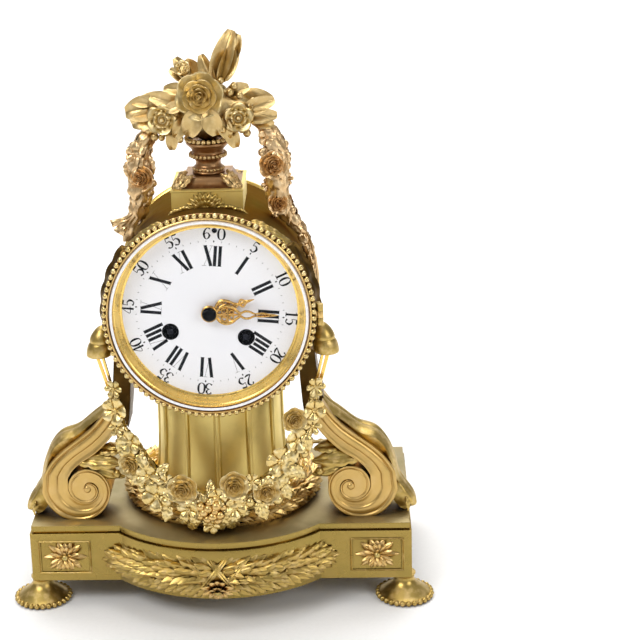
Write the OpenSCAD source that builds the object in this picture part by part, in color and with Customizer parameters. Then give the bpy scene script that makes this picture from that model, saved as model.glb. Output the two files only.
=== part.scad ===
// Gilt mantel clock: drum movement on a ribbed column between two scroll consoles,
// on a bowed base, crowned by an urn of flowers. Millimetres, +Z up, the dial faces -Y.
// The origin is on the floor, under the middle of the object.

/* [Base] */
// Width of the base walls
base_w = 222; // [212:1:232]
// From the column axis forward to the flat front face
base_front = 53.4; // [51:0.2:58]
// From the column axis back to the rear face
base_back = 60; // [56:1:70]
// Height of the base walls
base_wall_h = 30; // [26:0.5:36]
// Thickness of the base walls
base_wall = 4; // [3:0.5:5]
// Side of the solid corner posts that take the feet
corner_post = 20; // [18:1:24]
// Thickness of the top slab
slab_t = 4.5; // [3:0.5:7]
// How far the edge of the slab stands in from the walls
slab_inset = 1; // [0.4:0.1:2]
// Reach of the bow beyond the flat front
bow_reach = 24.8; // [20:0.2:28]
// Half the width of the bow where it leaves the flat front
bow_half = 58.5; // [52:0.5:62]
// Width of each front panel
panel_w = 28; // [22:1:30]
// Height of each front panel
panel_h = 21; // [16:1:22]
// Depth of the panels
panel_depth = 0.8; // [0.4:0.1:1.5]
// From the outer edge of a panel to the side of the base
panel_margin = 6; // [4:0.5:9]
// Thickness of a panel rosette
rosette_t = 3.4; // [2:0.2:4]

/* [Laurel] */
// Half the width of the laurel bolster on the bow
laurel_half = 70; // [66:1:72]
// How far the bolster stands out from the bow
laurel_proud = 5.8; // [4:0.2:8]
// Height of the bolster at its middle
laurel_h = 24; // [18:0.5:26]
// Height of the laurel ring under the column
ring_h = 14; // [10:0.5:16]
// Outer radius of the laurel ring
ring_r = 58; // [54:0.5:60]

/* [Feet] */
// Height of a foot
foot_h = 15.5; // [12:0.5:20]
// Radius of the beaded disc of a foot
foot_r = 17.2; // [15:0.2:19]
// Radius of the stem of a foot
foot_stem_r = 5.6; // [4:0.2:8]
// Height of the flat rim of a foot
foot_rim = 3; // [2:0.2:4]
// From the side of the base to a front foot's centre
foot_side = 4.1; // [3:0.1:9]
// From the side of the base to a back foot's centre
foot_tuck = 13.8; // [9:0.2:14.4]
// From the front face to a front foot's centre
foot_front = 8.6; // [7:0.1:12]
// From the rear face to a back foot's centre
foot_rear = 12; // [8:0.5:14]

/* [Column] */
// Radius of the column at the drum
col_r = 36; // [34:0.5:38]
// How much wider the column is at its foot
col_flare = 3; // [1:0.2:5]
// Radius of the hollow inside the column
col_bore = 29; // [26:0.5:31]
// Number of ribs round the column
col_ribs = 12; // [8:1:16]
// Width of a rib
rib_w = 3; // [2:0.2:5]
// How far a rib stands out
rib_t = 1.4; // [0.8:0.1:2]
// Height of the column's foot plate
col_plate = 6; // [4:0.5:9]
// Radius of a tie rod
tie_r = 1.6; // [1.2:0.1:2.2]
// Half the distance between the two tie rods
tie_x = 23; // [19:0.5:25]
// From the column axis back to the tie rods
tie_y = 11; // [8:0.5:13]

/* [Drum] */
// Height of the drum's centre above the floor
drum_z = 180.1; // [172:0.1:190]
// Outer radius of the drum barrel
drum_r = 56.3; // [55:0.1:58]
// Thickness of the drum's wall
drum_wall = 2.2; // [1.6:0.1:3]
// From the column axis forward to the front edge of the barrel
drum_front = 59; // [57:0.2:61]
// From the column axis back to the rear edge of the barrel
drum_back = 26; // [24:0.2:28]
// Thickness of the rear bezel
rear_bezel_t = 3.4; // [2.5:0.1:5]
// How far the bezels stand out beyond the barrel
bezel_proud = 1.3; // [0.8:0.1:2]
// From the barrel's outside in to the edge of the rear opening
rear_lip = 11.8; // [10:0.2:14]
// Thickness of the back door
door_t = 2; // [1.5:0.1:3]
// How far the middle of the bead row lies beyond the barrel
bead_out = 1.8; // [0.9:0.1:2.4]
// Radius of one bead
bead_r = 1.5; // [1.2:0.1:1.8]
// Metal between the glass and the bead row
glass_lip = 0.6; // [0.4:0.1:1]
// Thickness of the glass
glass_t = 2.2; // [1.6:0.1:2.6]
// Radius of a hinge knuckle
knuckle_r = 1.8; // [1.5:0.1:2.2]
// Radius of a hinge pin
hinge_pin_r = 0.8; // [0.6:0.1:1]
// How far the doors' hinge axes lie beyond the barrel
hinge_out = 5.2; // [4.8:0.1:6]

/* [Dial] */
// How far the movement has been turned in the drum, clockwise
dial_turn = 5.5; // [0:0.5:8]
// From the barrel's outside in to the edge of the dial that shows
dial_in = 6.5; // [5.8:0.1:8]
// Thickness of the enamelled dial
dial_t = 1.5; // [1:0.1:2]
// How far the dial's face lies behind the front edge of the barrel
dial_depth = 5.8; // [5.4:0.1:7]
// Half the distance between the winding holes
wind_x = 21.3; // [20.6:0.1:21.8]
// How far the winding holes lie below the centre
wind_z = 13.2; // [12.8:0.1:13.6]
// Radius of a winding hole
wind_hole_r = 4.4; // [3.6:0.1:4.8]
// Side of a winding square
square_w = 3.6; // [3:0.1:4]
// Hour that the hands show, clockwise degrees
hour_angle = 67.2; // [0:0.1:360]
// Minute that the hands show, clockwise degrees
minute_angle = 86.4; // [0:0.1:360]
// Length of the minute hand
minute_len = 38.5; // [34:0.5:42]
// Length of the hour hand
hour_len = 26.5; // [22:0.5:30]
// Thickness of a hand
hand_t = 0.8; // [0.5:0.1:1]

/* [Movement] */
// From the outside of the barrel in to the edge of the round plates
plate_in = 12.8; // [11.8:0.1:13.1]
// Thickness of a plate
plate_t = 2.4; // [1.8:0.1:3]
// Clear gap between the plates
plate_gap = 21; // [21:0.1:22]
// Gap between the dial and the front plate
under_dial = 7.3; // [7.2:0.1:8]
// Radius of the pivots at the ends of the arbors
pivot_r = 0.6; // [0.45:0.05:0.8]
// Radius of the arbors
arbor_r = 0.9; // [0.7:0.05:1]
// Radius of the finest arbors, those of the third and escape wheels
fine_arbor_r = 0.62; // [0.61:0.01:0.64]
// Running clearance round every pivot
run_gap = 0.05; // [0.03:0.01:0.08]
// Radius of a spring barrel
barrel_r = 15.5; // [14:0.1:15.8]
// Teeth of the barrel's great wheel
great_teeth = 84; // [84:1:84]
// Teeth of a second wheel
second_teeth = 72; // [72:1:72]
// Leaves of the larger pinions
pinion_teeth = 12; // [12:1:12]
// Teeth of the centre wheel
centre_teeth = 84; // [84:1:84]
// Teeth of the third wheel
third_teeth = 77; // [77:1:77]
// Leaves of the fine pinions
fine_leaves = 7; // [7:1:7]
// Teeth of the escape wheel
escape_teeth = 40; // [40:4:40]
// Module of the great wheel and its pinion
great_m = 0.42; // [0.42:0.01:0.42]
// Module of the second wheel and its pinion
second_m = 0.35; // [0.35:0.01:0.35]
// Module of the centre wheel and its pinion
centre_m = 0.3; // [0.3:0.01:0.3]
// Module of the third wheel and its pinion
third_m = 0.28; // [0.28:0.01:0.28]
// Radius of the escape wheel over its teeth
escape_r = 10; // [9.5:0.1:10.2]
// Height of the escape wheel above the centre
escape_z = 22; // [22:0.1:22.4]
// Height of the pallet arbor above the centre
anchor_z = 37.6; // [37.2:0.1:38]
// Gap between the pallets and the escape wheel at rest
pallet_gap = 0.6; // [0.55:0.05:0.7]

/* [Pendulum] */
// From the suspension down to the bob's centre
pend_len = 102; // [96:0.5:106]
// Radius of the bob
bob_r = 12; // [10:0.5:13]
// Thickness of the bob
bob_t = 5; // [4:0.5:6]
// Radius of the rod
rod_r = 0.9; // [0.7:0.1:1.1]
// From the back plate to the pendulum's plane
pend_behind = 7.2; // [6.6:0.1:8]

/* [Striking] */
// Radius of the bell
bell_r = 30; // [26:0.5:31]
// Depth of the bell
bell_h = 13; // [10:0.5:14]
// Wall of the bell
bell_wall = 1.4; // [1:0.1:2]
// From the back plate to the bell's mouth
bell_behind = 21; // [19:0.5:22]

/* [Consoles] */
// From the side of the base in to a volute's eye
volute_side = 29.7; // [27:0.1:33]
// Greatest radius of a volute's spiral
volute_r = 22.2; // [20:0.1:23]
// Radius that the spiral has lost after one turn
volute_loss = 16; // [14:0.1:17]
// Lowest point of the spiral, measured down from its eye
volute_drop = 19; // [18:0.1:20]
// From the column axis forward to the consoles' face
console_front = 43; // [42:0.5:45]
// Depth of a console
console_d = 24; // [20:0.5:28]
// Depth of the groove along a console's face
groove_d = 1.2; // [0.6:0.1:2]

/* [Crown] */
// Width of the plinth on the drum
plinth_w = 40; // [36:0.5:44]
// Height of the plinth's top above the drum's crest
plinth_rise = 9.6; // [7:0.2:12]
// Height of the hollow moulding on the plinth
cavetto_h = 5; // [4:0.2:7]
// Radius of the urn's lip
urn_r = 12.6; // [11:0.1:14]
// Height of the urn
urn_h = 18.5; // [16:0.1:22]
// Radius of the large rose
rose_r = 12; // [10:0.2:13]
// Radius of the swags' garlands
swag_r = 5; // [4:0.2:6]

/* [Hidden] */
$fn = 64;

// Colours of the finishes
gilt = "#b29a45";
worn_gilt = "#a8794a";
bright_gilt = "#e0a83a";
plain_brass = "#c9a24e";
steel = "#8d9297";
blackened = "#26262c";

// Heights
wall_top = foot_h + base_wall_h;
base_top = wall_top + slab_t;
crest_z = drum_z + drum_r;
plinth_top = crest_z + plinth_rise;
urn_z = plinth_top + cavetto_h;
lip_z = urn_z + urn_h;

// Depths, measured from the column axis
front_reach = base_front + bow_reach + laurel_proud;
back_reach = base_back - foot_rear + foot_r;
axis_y = (front_reach - back_reach) / 2;
dial_y = -drum_front + dial_depth;
plate_y = dial_y + dial_t + under_dial;
gap_y = plate_y + plate_t;
gap_end = gap_y + plate_gap;
back_y = gap_end + plate_t;
pend_y = back_y + pend_behind;
bell_y = back_y + bell_behind;
rear_face = drum_back + rear_bezel_t;
drum_mid = (rear_face - drum_front) / 2;
bezel_r = drum_r + bezel_proud;

// Rings of the drum
bead_row_r = drum_r + bead_out;
glass_r = bead_row_r - bead_r - glass_lip;
dial_r = drum_r - dial_in;
rear_open_r = drum_r - rear_lip;
plate_r = drum_r - plate_in;

// The bow is an arc through its two ends and its middle
bow_r = (bow_half * bow_half + bow_reach * bow_reach) / (2 * bow_reach);
laurel_sag = bow_reach + laurel_proud - 1;
laurel_r = (laurel_half * laurel_half + laurel_sag * laurel_sag) / (2 * laurel_sag);
laurel_z = wall_top - 4.5 - laurel_h / 2;

// Parts that sit side by side in one body lie this far apart
seat = 0.02;
volute_z = base_top + volute_drop;
volute_x = base_w / 2 - volute_side;

// Centres of the arbors in the movement's own frame, seen from the front, [across, up]
great_dist = (great_teeth + pinion_teeth) * great_m / 2;
second_dist = (second_teeth + pinion_teeth) * second_m / 2;
centre_dist = (centre_teeth + fine_leaves) * centre_m / 2;
third_dist = (third_teeth + fine_leaves) * third_m / 2;
going_at = [wind_x, -wind_z];
strike_at = [-wind_x, -wind_z];
// Crossing of two circles: p at distance a, q at distance b, on the left going from p to q
function meet(p, a, q, b) =
    let (v = q - p, d = norm(v), s = (a * a - b * b + d * d) / (2 * d), h = sqrt(a * a - s * s))
    p + v / d * s + [-v[1], v[0]] / d * h;
escape_at = [0, escape_z];
second_at = meet([0, 0], second_dist, going_at, great_dist);
third_at = meet([0, 0], centre_dist, escape_at, third_dist);
anchor_at = [0, anchor_z];
strike_turn = 102;
strike2_at = strike_at + great_dist * [cos(strike_turn), sin(strike_turn)];
strike2_teeth = 60;
pin_leaves = 8;
pin_dist = (strike2_teeth + pin_leaves) * second_m / 2;
pin_turn = 58;
pin_at = strike2_at + pin_dist * [cos(pin_turn), sin(pin_turn)];
hammer_at = [-12, -35];
motion_teeth = 24;
motion_m = 0.25;
hour_leaves = 12;
hour_m = 0.4;
motion_dist = (motion_teeth + 3 * motion_teeth) * motion_m / 2;
motion_at = [0, -motion_dist];
stand_at = [26.9, -26.9];

function tooth_step(n) = 360 / n;
// Phase of a gear of nb teeth that meshes with one of na teeth and phase pa, at direction d
function mesh(d, pa, na, nb) = d + 180 + 180 / nb - (pa - d) * na / nb;
function aim(p, q) = atan2(q[1] - p[1], q[0] - p[0]);
// Position in the drum of a place in the movement's turned frame
function turned_x(p) = p[0] * cos(dial_turn) + p[1] * sin(dial_turn);
function turned_z(p) = drum_z - p[0] * sin(dial_turn) + p[1] * cos(dial_turn);
pend_x = turned_x(anchor_at);
pend_z = turned_z(anchor_at);

second_phase = mesh(aim(going_at, second_at), 0, great_teeth, pinion_teeth);
centre_phase = mesh(aim(second_at, [0, 0]), second_phase, second_teeth, pinion_teeth);
third_phase = mesh(aim([0, 0], third_at), centre_phase, centre_teeth, fine_leaves);
strike2_phase = mesh(strike_turn, 0, great_teeth, pinion_teeth);
pin_phase = mesh(pin_turn, strike2_phase, strike2_teeth, pin_leaves);
motion_phase = mesh(-90, 0, motion_teeth, 3 * motion_teeth);
hour_phase = mesh(90, motion_phase, hour_leaves, 4 * hour_leaves);

// Half the width of a tooth at its root, pitch line and tip, in parts of the pitch
function tooth_row(n, m, tip, root, w) =
    [[m * n / 2 - root * m, w + 0.07], [m * n / 2, w], [m * n / 2 + tip * m, w - 0.11]];
function gear_points(n, m, phase, tip, root, w) =
    [for (i = [0:n - 1]) for (k = [0:5])
        let (row = tooth_row(n, m, tip, root, w)[k < 3 ? k : 5 - k],
            a = phase + tooth_step(n) * (i + (k < 3 ? -1 : 1) * row[1]))
        row[0] * [cos(a), sin(a)]];

module gear_2d(n, m, phase) polygon(gear_points(n, m, phase, 0.8, 1.2, 0.2));
module pinion_2d(n, m, phase) polygon(gear_points(n, m, phase, 0.7, 1.15, 0.17));
module at(p) translate([p[0], 0, p[1]]) children();
module in_case() translate([0, axis_y, 0]) children();
module in_drum() translate([0, axis_y, drum_z]) children();
module in_movement() translate([0, axis_y, drum_z]) rotate([0, dial_turn, 0]) children();
// Extrudes a front-view outline from depth a back to depth b
module across(a, b) translate([0, b, 0]) rotate([90, 0, 0]) linear_extrude(b - a) children();
// Turns an outline of [radius, depth] about the drum's axis
module lathe() rotate([-90, 0, 0]) rotate_extrude() children();
module rod(r, a, b) translate([0, a, 0]) rotate([-90, 0, 0]) cylinder(r = r, h = b - a);
module both_sides() for (s = [-1, 1]) scale_side(s) children();
module scale_side(s) {
    if (s > 0) children();
    else mirror([1, 0, 0]) children();
}
// A spoked wheel with rim and hub
module spoked(n, m, phase, rim, hub, arms, arm_w) difference() {
    gear_2d(n, m, phase);
    difference() {
        circle(m * n / 2 - rim);
        circle(hub);
        for (i = [0:arms - 1]) rotate(i * 360 / arms) translate([0, -arm_w / 2])
            square([m * n / 2, arm_w]);
    }
}
// An arbor between the plates with a pivot at each end
module arbor(r) {
    rod(r, gap_y + 0.1, gap_end - 0.1);
    rod(pivot_r, plate_y + 0.3, back_y - 0.3);
}

// Outline of the base seen from above, pulled in by a distance
module base_outline(inset) {
    translate([-base_w / 2 + inset, -base_front + inset])
        square([base_w - 2 * inset, base_front + base_back - 2 * inset]);
    intersection() {
        translate([0, bow_r - base_front - bow_reach]) circle(r = bow_r - inset, $fn = 128);
        translate([-bow_half - inset, -base_front - bow_reach - 1]) square([2 * bow_half + 2 * inset,
            bow_reach + 2 * inset + 2]);
    }
}
module base_frame() color(gilt) in_case() difference() {
    translate([0, 0, foot_h]) linear_extrude(base_wall_h) base_outline(0);
    translate([0, 0, foot_h - 1]) linear_extrude(base_wall_h + 2) difference() {
        base_outline(base_wall);
        both_sides() for (y = [-base_front, base_back - corner_post])
            translate([base_w / 2 - corner_post, y]) square(corner_post);
    }
    both_sides() translate([base_w / 2 - panel_margin - panel_w, -base_front - 1,
        foot_h + (base_wall_h - panel_h) / 2]) cube([panel_w, 1 + panel_depth, panel_h]);
    both_sides() translate([base_w / 2 - panel_depth, -base_front + corner_post,
        foot_h + (base_wall_h - panel_h) / 2])
        cube([2, base_front + base_back - 2 * corner_post, panel_h]);
}
module base_slab() color(gilt) in_case() difference() {
    translate([0, 0, wall_top]) union() {
        linear_extrude(1) base_outline(slab_inset + 0.8);
        translate([0, 0, 1]) linear_extrude(slab_t - 1) base_outline(slab_inset);
    }
    both_sides() translate([tie_x, tie_y, wall_top - 1]) cylinder(r = tie_r + 0.1, h = slab_t + 2);
    translate([0, 0, wall_top - 1]) cylinder(r = col_bore - 8, h = slab_t + 2);
}

// Closed skin through a list of rings that have the same number of points
module skin(rings) {
    n = len(rings);
    k = len(rings[0]);
    flat = [for (ring = rings) for (p = ring) p];
    sides = [for (i = [0:n - 2]) for (j = [0:k - 1]) let (a = i * k + j, b = i * k + (j + 1) % k)
        each [[a, b, b + k], [a, b + k, a + k]]];
    first = [for (j = [1:k - 2]) [0, j + 1, j]];
    last = [for (j = [1:k - 2]) [(n - 1) * k, (n - 1) * k + j, (n - 1) * k + j + 1]];
    polyhedron(flat, concat(sides, first, last));
}
// Rings of the laurel bolster: a half oval that thins towards both ends
laurel_steps = 24;
laurel_sides = 9;
function laurel_ring(t) =
    let (a = t * asin(laurel_half / laurel_r), swell = 0.3 + 0.7 * pow(cos(t * 80), 0.5),
        c = [sin(a), -cos(a)], mid = [0, laurel_r - base_front - laurel_sag - 1],
        leaf = 0.98 + 0.02 * cos(t * 360 * 9))
    [for (j = [0:laurel_sides - 1]) let (b = -90 + 180 * j / (laurel_sides - 1),
        out = laurel_r - 12 + (12 * cos(b) * (0.5 + swell / 2)) * leaf)
        [mid[0] + c[0] * out, mid[1] + c[1] * out,
            laurel_z + 3 * (1 - swell) + sin(b) * laurel_h / 2 * swell]];
module bow_laurel() color(gilt) in_case() difference() {
    skin([for (i = [0:laurel_steps]) laurel_ring(2 * i / laurel_steps - 1)]);
    linear_extrude(wall_top + 10) base_outline(-seat);
}
// A flower seen from its front, facing -Y: petals round a raised heart
module flower(r, petals = 6, t = 2.4, heart = 0.32) {
    for (i = [0:petals - 1]) rotate([0, i * 360 / petals, 0]) hull() {
        translate([0, 0, r * 0.2]) sphere(t * 0.4, $fn = 5);
        translate([0, -t * 0.2, r * 0.66]) scale([r * 0.36, t * 0.42, r * 0.34]) sphere(1, $fn = 6);
    }
    translate([0, -t * 0.25, 0]) sphere(r * heart, $fn = 8);
}
module panel_rosettes() color(worn_gilt) in_case() both_sides()
    translate([base_w / 2 - panel_margin - panel_w / 2, -base_front + panel_depth - seat,
        foot_h + base_wall_h / 2]) difference() {
        intersection() {
            scale([1.2, 1, 0.9]) flower(panel_h * 0.53, 8, rosette_t, 0.3);
            cube([panel_w * 0.92, 40, panel_h * 0.92], center = true);
        }
        translate([-50, 0, -50]) cube(100);
    }

foot_profile = [[0, 0], [foot_r - 1.2, 0], [foot_r, 1], [foot_r, foot_rim - 1],
    [foot_r - 1.2, foot_rim], [foot_r * 0.72, foot_rim + 2.2], [foot_stem_r + 2, foot_rim + 4.6],
    [foot_stem_r, foot_rim + 7], [foot_stem_r, foot_h - 1.4], [foot_stem_r + 1, foot_h - seat],
    [0, foot_h - seat]];
module foot() rotate_extrude() polygon(foot_profile);
module feet() color(gilt) in_case() both_sides() {
    translate([base_w / 2 - foot_side, -base_front + foot_front, 0]) foot();
    translate([base_w / 2 - foot_tuck, base_back - foot_rear, 0]) foot();
}

ring_tube = ring_h / 2;
ring_mid = ring_r - ring_tube;
module ring_shape(extra) translate([0, 0, base_top + ring_tube]) rotate_extrude()
    translate([ring_mid, 0]) circle(ring_tube + extra);
module socle_ring() color(worn_gilt) in_case() {
    difference() {
        ring_shape(0);
        translate([0, 0, base_top - 5]) cube([300, 300, 10 + 0.8], center = true);
    }
    translate([0, 0, base_top + seat]) difference() {
        cylinder(r = ring_mid + 5, h = 1.5);
        translate([0, 0, -1]) cylinder(r = ring_mid - 3, h = 4);
    }
}
col_top = drum_z - drum_r + 9;
col_profile = [[0, base_top + seat], [ring_mid - ring_tube - 0.4, base_top + seat],
    [ring_mid - ring_tube - 0.4, base_top + col_plate], [col_r + col_flare, base_top + col_plate + 3],
    [col_r + col_flare * 0.6, base_top + col_plate + 14], [col_r + 0.4, base_top + col_plate + 34],
    [col_r, base_top + col_plate + 50], [col_r + 1, col_top], [0, col_top]];
module drum_cut(extra) translate([0, 0, drum_z]) rod(drum_r + extra, -drum_front - 5, col_r * 2);
module column() color(gilt) in_case() difference() {
    union() {
        rotate_extrude() polygon(col_profile);
        for (i = [0:col_ribs - 1]) rotate(i * 360 / col_ribs)
            translate([col_r - 1, -rib_w / 2, base_top + col_plate + 2])
            cube([1 + rib_t, rib_w, col_top - base_top - col_plate - 2]);
        for (i = [0:col_ribs - 1]) rotate(i * 360 / col_ribs)
            translate([col_r - 1, -rib_w / 2, base_top + col_plate + 2])
            cube([1 + col_flare + rib_t * 0.6, rib_w, 12]);
    }
    translate([0, 0, base_top - 1]) cylinder(r = col_bore, h = col_top);
    drum_cut(seat);
    translate([0, 0, drum_z]) rod(bezel_r + seat, drum_back, col_r * 2);
}
tie_head = turned_drop(tie_x);
function turned_drop(x) = drum_z - sqrt(pow(drum_r - drum_wall, 2) - x * x);
module tie_rods() color(steel) in_case() both_sides() translate([tie_x, tie_y, 0]) {
    translate([0, 0, wall_top - 6]) cylinder(r = tie_r, h = tie_head + 3.4 - wall_top + 6);
    translate([0, 0, wall_top - 4 - seat]) cylinder(r = tie_r * 2.2, h = 4, $fn = 6);
    translate([0, 0, tie_head + 1.4]) cylinder(r = tie_r * 1.9, h = 2.4);
}

// Hinge of a round door: knuckles on a vertical pin beside the drum, on the
// right for the front door and on the left for the rear one
hinge_x = drum_r + hinge_out;
front_hinge_y = -drum_front - 1;
rear_hinge_y = rear_face + 1;
knuckle_h = 4;
module knuckle(z0, z1, y) translate([hinge_x, y, z0]) difference() {
    cylinder(r = knuckle_r, h = z1 - z0);
    translate([0, 0, -1]) cylinder(r = hinge_pin_r + run_gap, h = z1 - z0 + 2);
}
// Fixed half of a hinge: two knuckles, their straps to the barrel, and the pin
module hinge_leaf(y, side) {
    for (s = [-1, 1]) translate([hinge_x, y, s * knuckle_h - knuckle_h / 2 + s * 0.1])
        cylinder(r = knuckle_r, h = knuckle_h);
    for (s = [-1, 1]) translate([drum_r - 1.5, side > 0 ? y - knuckle_r - 2.5 : y + 1,
        s * knuckle_h - knuckle_h / 2 + s * 0.1])
        cube([hinge_x - drum_r + 1.5, knuckle_r + (side > 0 ? 2.3 : 1.5), knuckle_h]);
    translate([hinge_x, y, -1.5 * knuckle_h]) cylinder(r = hinge_pin_r, h = 3 * knuckle_h);
}
slot_half = 19;
module drum_barrel() color(gilt) in_drum() {
    difference() {
        union() {
            lathe() polygon([[drum_r - drum_wall, -drum_front], [bezel_r, -drum_front],
                [bezel_r, -drum_front + 3], [drum_r, -drum_front + 4.5], [drum_r, drum_back],
                [drum_r - drum_wall, drum_back]]);
            hinge_leaf(front_hinge_y, -1);
        }
        translate([pend_x - slot_half, pend_y - 6, -drum_r - 5]) cube([2 * slot_half, 12, 20]);
        both_sides() translate([tie_x, tie_y, -drum_r - 1]) cylinder(r = tie_r + 0.1, h = 20);
        rod(drum_r - drum_wall, -drum_front - 1, drum_back + 1);
    }
}
module rear_bezel() color(bright_gilt) in_drum() scale_side(-1) {
    lathe() polygon([[rear_open_r, drum_back + seat], [drum_r, drum_back + seat],
        [bezel_r, drum_back + 1], [bezel_r, rear_face - 0.8], [bezel_r - 0.8, rear_face],
        [rear_open_r, rear_face]]);
    hinge_leaf(rear_hinge_y, 1);
}
door_r = rear_open_r + 7;
module back_door() color(gilt) in_drum() scale_side(-1) {
    lathe() polygon([[0, rear_face + 3.2], [door_r * 0.5, rear_face + 2.5],
        [door_r - 4, rear_face + 0.2], [door_r, rear_face + 0.2], [door_r, rear_face + 0.2 + door_t],
        [door_r - 3, rear_face + 0.2 + door_t], [door_r * 0.5, rear_face + 2.5 + door_t],
        [0, rear_face + 3.2 + door_t]]);
    translate([door_r - 2, rear_face + 0.3, -knuckle_h / 2 + 0.1])
        cube([hinge_x - door_r + 2 - hinge_pin_r - 0.4, 1.6, knuckle_h - 0.2]);
    knuckle(-knuckle_h / 2 + 0.1, knuckle_h / 2 - 0.1, rear_hinge_y);
    translate([-door_r + 5, rear_face + door_t, 0]) rod(2.2, -0.5, 5);
}

// Front bezel, seat of the glass and its beads
bezel_back = -drum_front - 0.3;
glass_back = bezel_back - 0.9;
glass_front = glass_back - glass_t;
module front_bezel() color(bright_gilt) in_drum() {
    difference() {
        lathe() polygon([[glass_r - 1.6, bezel_back], [bead_row_r + 0.6, bezel_back],
            [bead_row_r + 0.6, bezel_back - 2.6], [glass_r + 1.2, glass_front - 0.5],
            [glass_r - 0.5, glass_front - 0.5], [glass_r - 0.5, glass_front - seat],
            [glass_r + seat, glass_front - seat], [glass_r + seat, glass_back],
            [glass_r - 1.6, glass_back]]);
        for (s = [-1, 1]) translate([hinge_x - 4.5, front_hinge_y - 3, s * knuckle_h - knuckle_h / 2
            - 0.3 + s * 0.1]) cube([10, 6, knuckle_h + 0.6]);
    }
    difference() {
        lathe() translate([bead_row_r, bezel_back - 2.2]) circle(bead_r, $fn = 24);
        for (s = [-1, 1]) translate([hinge_x - 4.5, front_hinge_y - 3, s * knuckle_h - knuckle_h / 2
            - 0.3 + s * 0.1]) cube([10, 6, knuckle_h + 0.6]);
    }
    translate([bead_row_r - 0.5, bezel_back - 1.4, -knuckle_h / 2 + 0.1])
        cube([hinge_x - bead_row_r - hinge_pin_r + 0.1, 1.3, knuckle_h - 0.2]);
    knuckle(-knuckle_h / 2 + 0.1, knuckle_h / 2 - 0.1, front_hinge_y);
}
module glass() color([0.85, 0.9, 0.95, 0.3]) in_drum() lathe()
    polygon([[0, glass_back - seat], [glass_r, glass_back - seat], [glass_r, glass_back - 0.7],
        [glass_r - 0.5 - seat, glass_front], [0, glass_front]]);
module sight_ring() color(bright_gilt) in_drum() lathe()
    polygon([[dial_r, dial_y - 0.2], [dial_r + 0.3, dial_y - seat], [drum_r - drum_wall - 0.05,
        dial_y - seat], [drum_r - drum_wall - 0.05, -drum_front + 0.4], [dial_r + 3.6, -drum_front],
        [dial_r + 2.4, -drum_front + 0.6]]);
module winding_holes(a, b) for (p = [going_at, strike_at]) at(p) rod(wind_hole_r, a, b);
module dial() color("white") in_movement() difference() {
    rod(dial_r + 1.2, dial_y, dial_y + dial_t);
    winding_holes(dial_y - 1, dial_y + dial_t + 1);
    rod(3, dial_y - 1, dial_y + dial_t + 1);
    at([0, regulator_z]) rod(1.5, dial_y - 1, dial_y + dial_t + 1);
}
regulator_z = dial_r - 2.4;
pan_y = dial_y + dial_t + seat;
pan_r = drum_r - drum_wall - 0.1;
pan_in = pan_r - 26;
module dial_pan() color(plain_brass) in_movement() {
    difference() {
        lathe() polygon([[pan_in, pan_y], [pan_r, pan_y], [pan_r, pan_y + 1.2], [pan_in, pan_y + 1.2]]);
        winding_holes(pan_y - 1, pan_y + 3);
        at([0, regulator_z]) rod(1.5, pan_y - 1, pan_y + 3);
    }
    for (a = [35, 155, 270]) at(36 * [cos(a), sin(a)]) rod(2, pan_y + 1, plate_y - seat);
}

// Movement: plates, pillars, straps
module plate_holes(a, b, big) {
    for (p = [third_at, escape_at, pin_at]) at(p) rod(pivot_r + run_gap, a, b);
    at(second_at) rod(pivot_r + run_gap, a, b);
    for (p = [going_at, strike_at]) at(p) rod(big + run_gap, a, b);
}
module front_plate() color(plain_brass) in_movement() {
    difference() {
        rod(plate_r, plate_y, gap_y);
        plate_holes(plate_y - 1, gap_y + 1, barrel_pivot_r);
        at(strike2_at) rod(pivot_r + run_gap, plate_y - 1, gap_y + 1);
        at(anchor_at) rod(pivot_r + run_gap, plate_y - 1, gap_y + 1);
        at(hammer_at) rod(pivot_r + run_gap, plate_y - 1, gap_y + 1);
        rod(centre_r + run_gap, plate_y - 1, gap_y + 1);
    }
    at(motion_at) rod(motion_post_r, plate_y - 4.4, plate_y + 0.5);
}
module back_plate() color(plain_brass) in_movement() difference() {
    rod(plate_r, gap_end, back_y);
    plate_holes(gap_end - 1, back_y + 1, barrel_pivot_r);
    at(strike2_at) rod(arbor_r + run_gap, gap_end - 1, back_y + 1);
    at(anchor_at) rod(arbor_r + run_gap, gap_end - 1, back_y + 1);
    at(hammer_at) rod(arbor_r + run_gap, gap_end - 1, back_y + 1);
    rod(pivot_r + run_gap, gap_end - 1, back_y + 1);
}
barrel_pivot_r = 2;
centre_r = 1;
motion_post_r = 0.8;
module plate_pillars() color(plain_brass) in_movement()
    for (a = [14, 60, 128, 270]) at((plate_r - 3.2) * [cos(a), sin(a)]) {
        rod(2, gap_y + seat, gap_end - seat);
        rod(2.6, gap_y + seat, gap_y + 2);
        rod(2.6, gap_end - 2, gap_end - seat);
    }
strap_r = (plate_r + drum_r - drum_wall) / 2;
module movement_straps() color(plain_brass) in_movement() both_sides() {
    translate([strap_r - 0.9, pan_y + 1.2 + seat, -4]) cube([1.8, drum_back - pan_y - 1.2 - 0.1, 8]);
    translate([strap_r - 0.9, drum_back - 4, 0]) rotate([0, 90, 0]) cylinder(r = 2, h = 2.6);
}

// Motion work and hands
sleeve_gap = 0.08;
cannon_r = centre_r + 0.7;
hour_pipe_r = cannon_r + sleeve_gap + 0.7;
cannon_y = plate_y - 1.3;
hour_y = plate_y - 3;
hour_hand_y = dial_y - 2.2;
minute_hand_y = hour_hand_y - 1.5;
hub_r = 3.6;
// Openwork of a hand: [across, along, radius, radius of its hole] of each ring, in hand widths
hand_rings = [[0.26, 0.16, 0.25, 0.14], [0, 0.42, 0.3, 0.17], [0.36, 0.5, 0.2, 0.1],
    [0.2, 0.8, 0.19, 0.09], [0, 1.12, 0.13, 0.05]];
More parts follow.
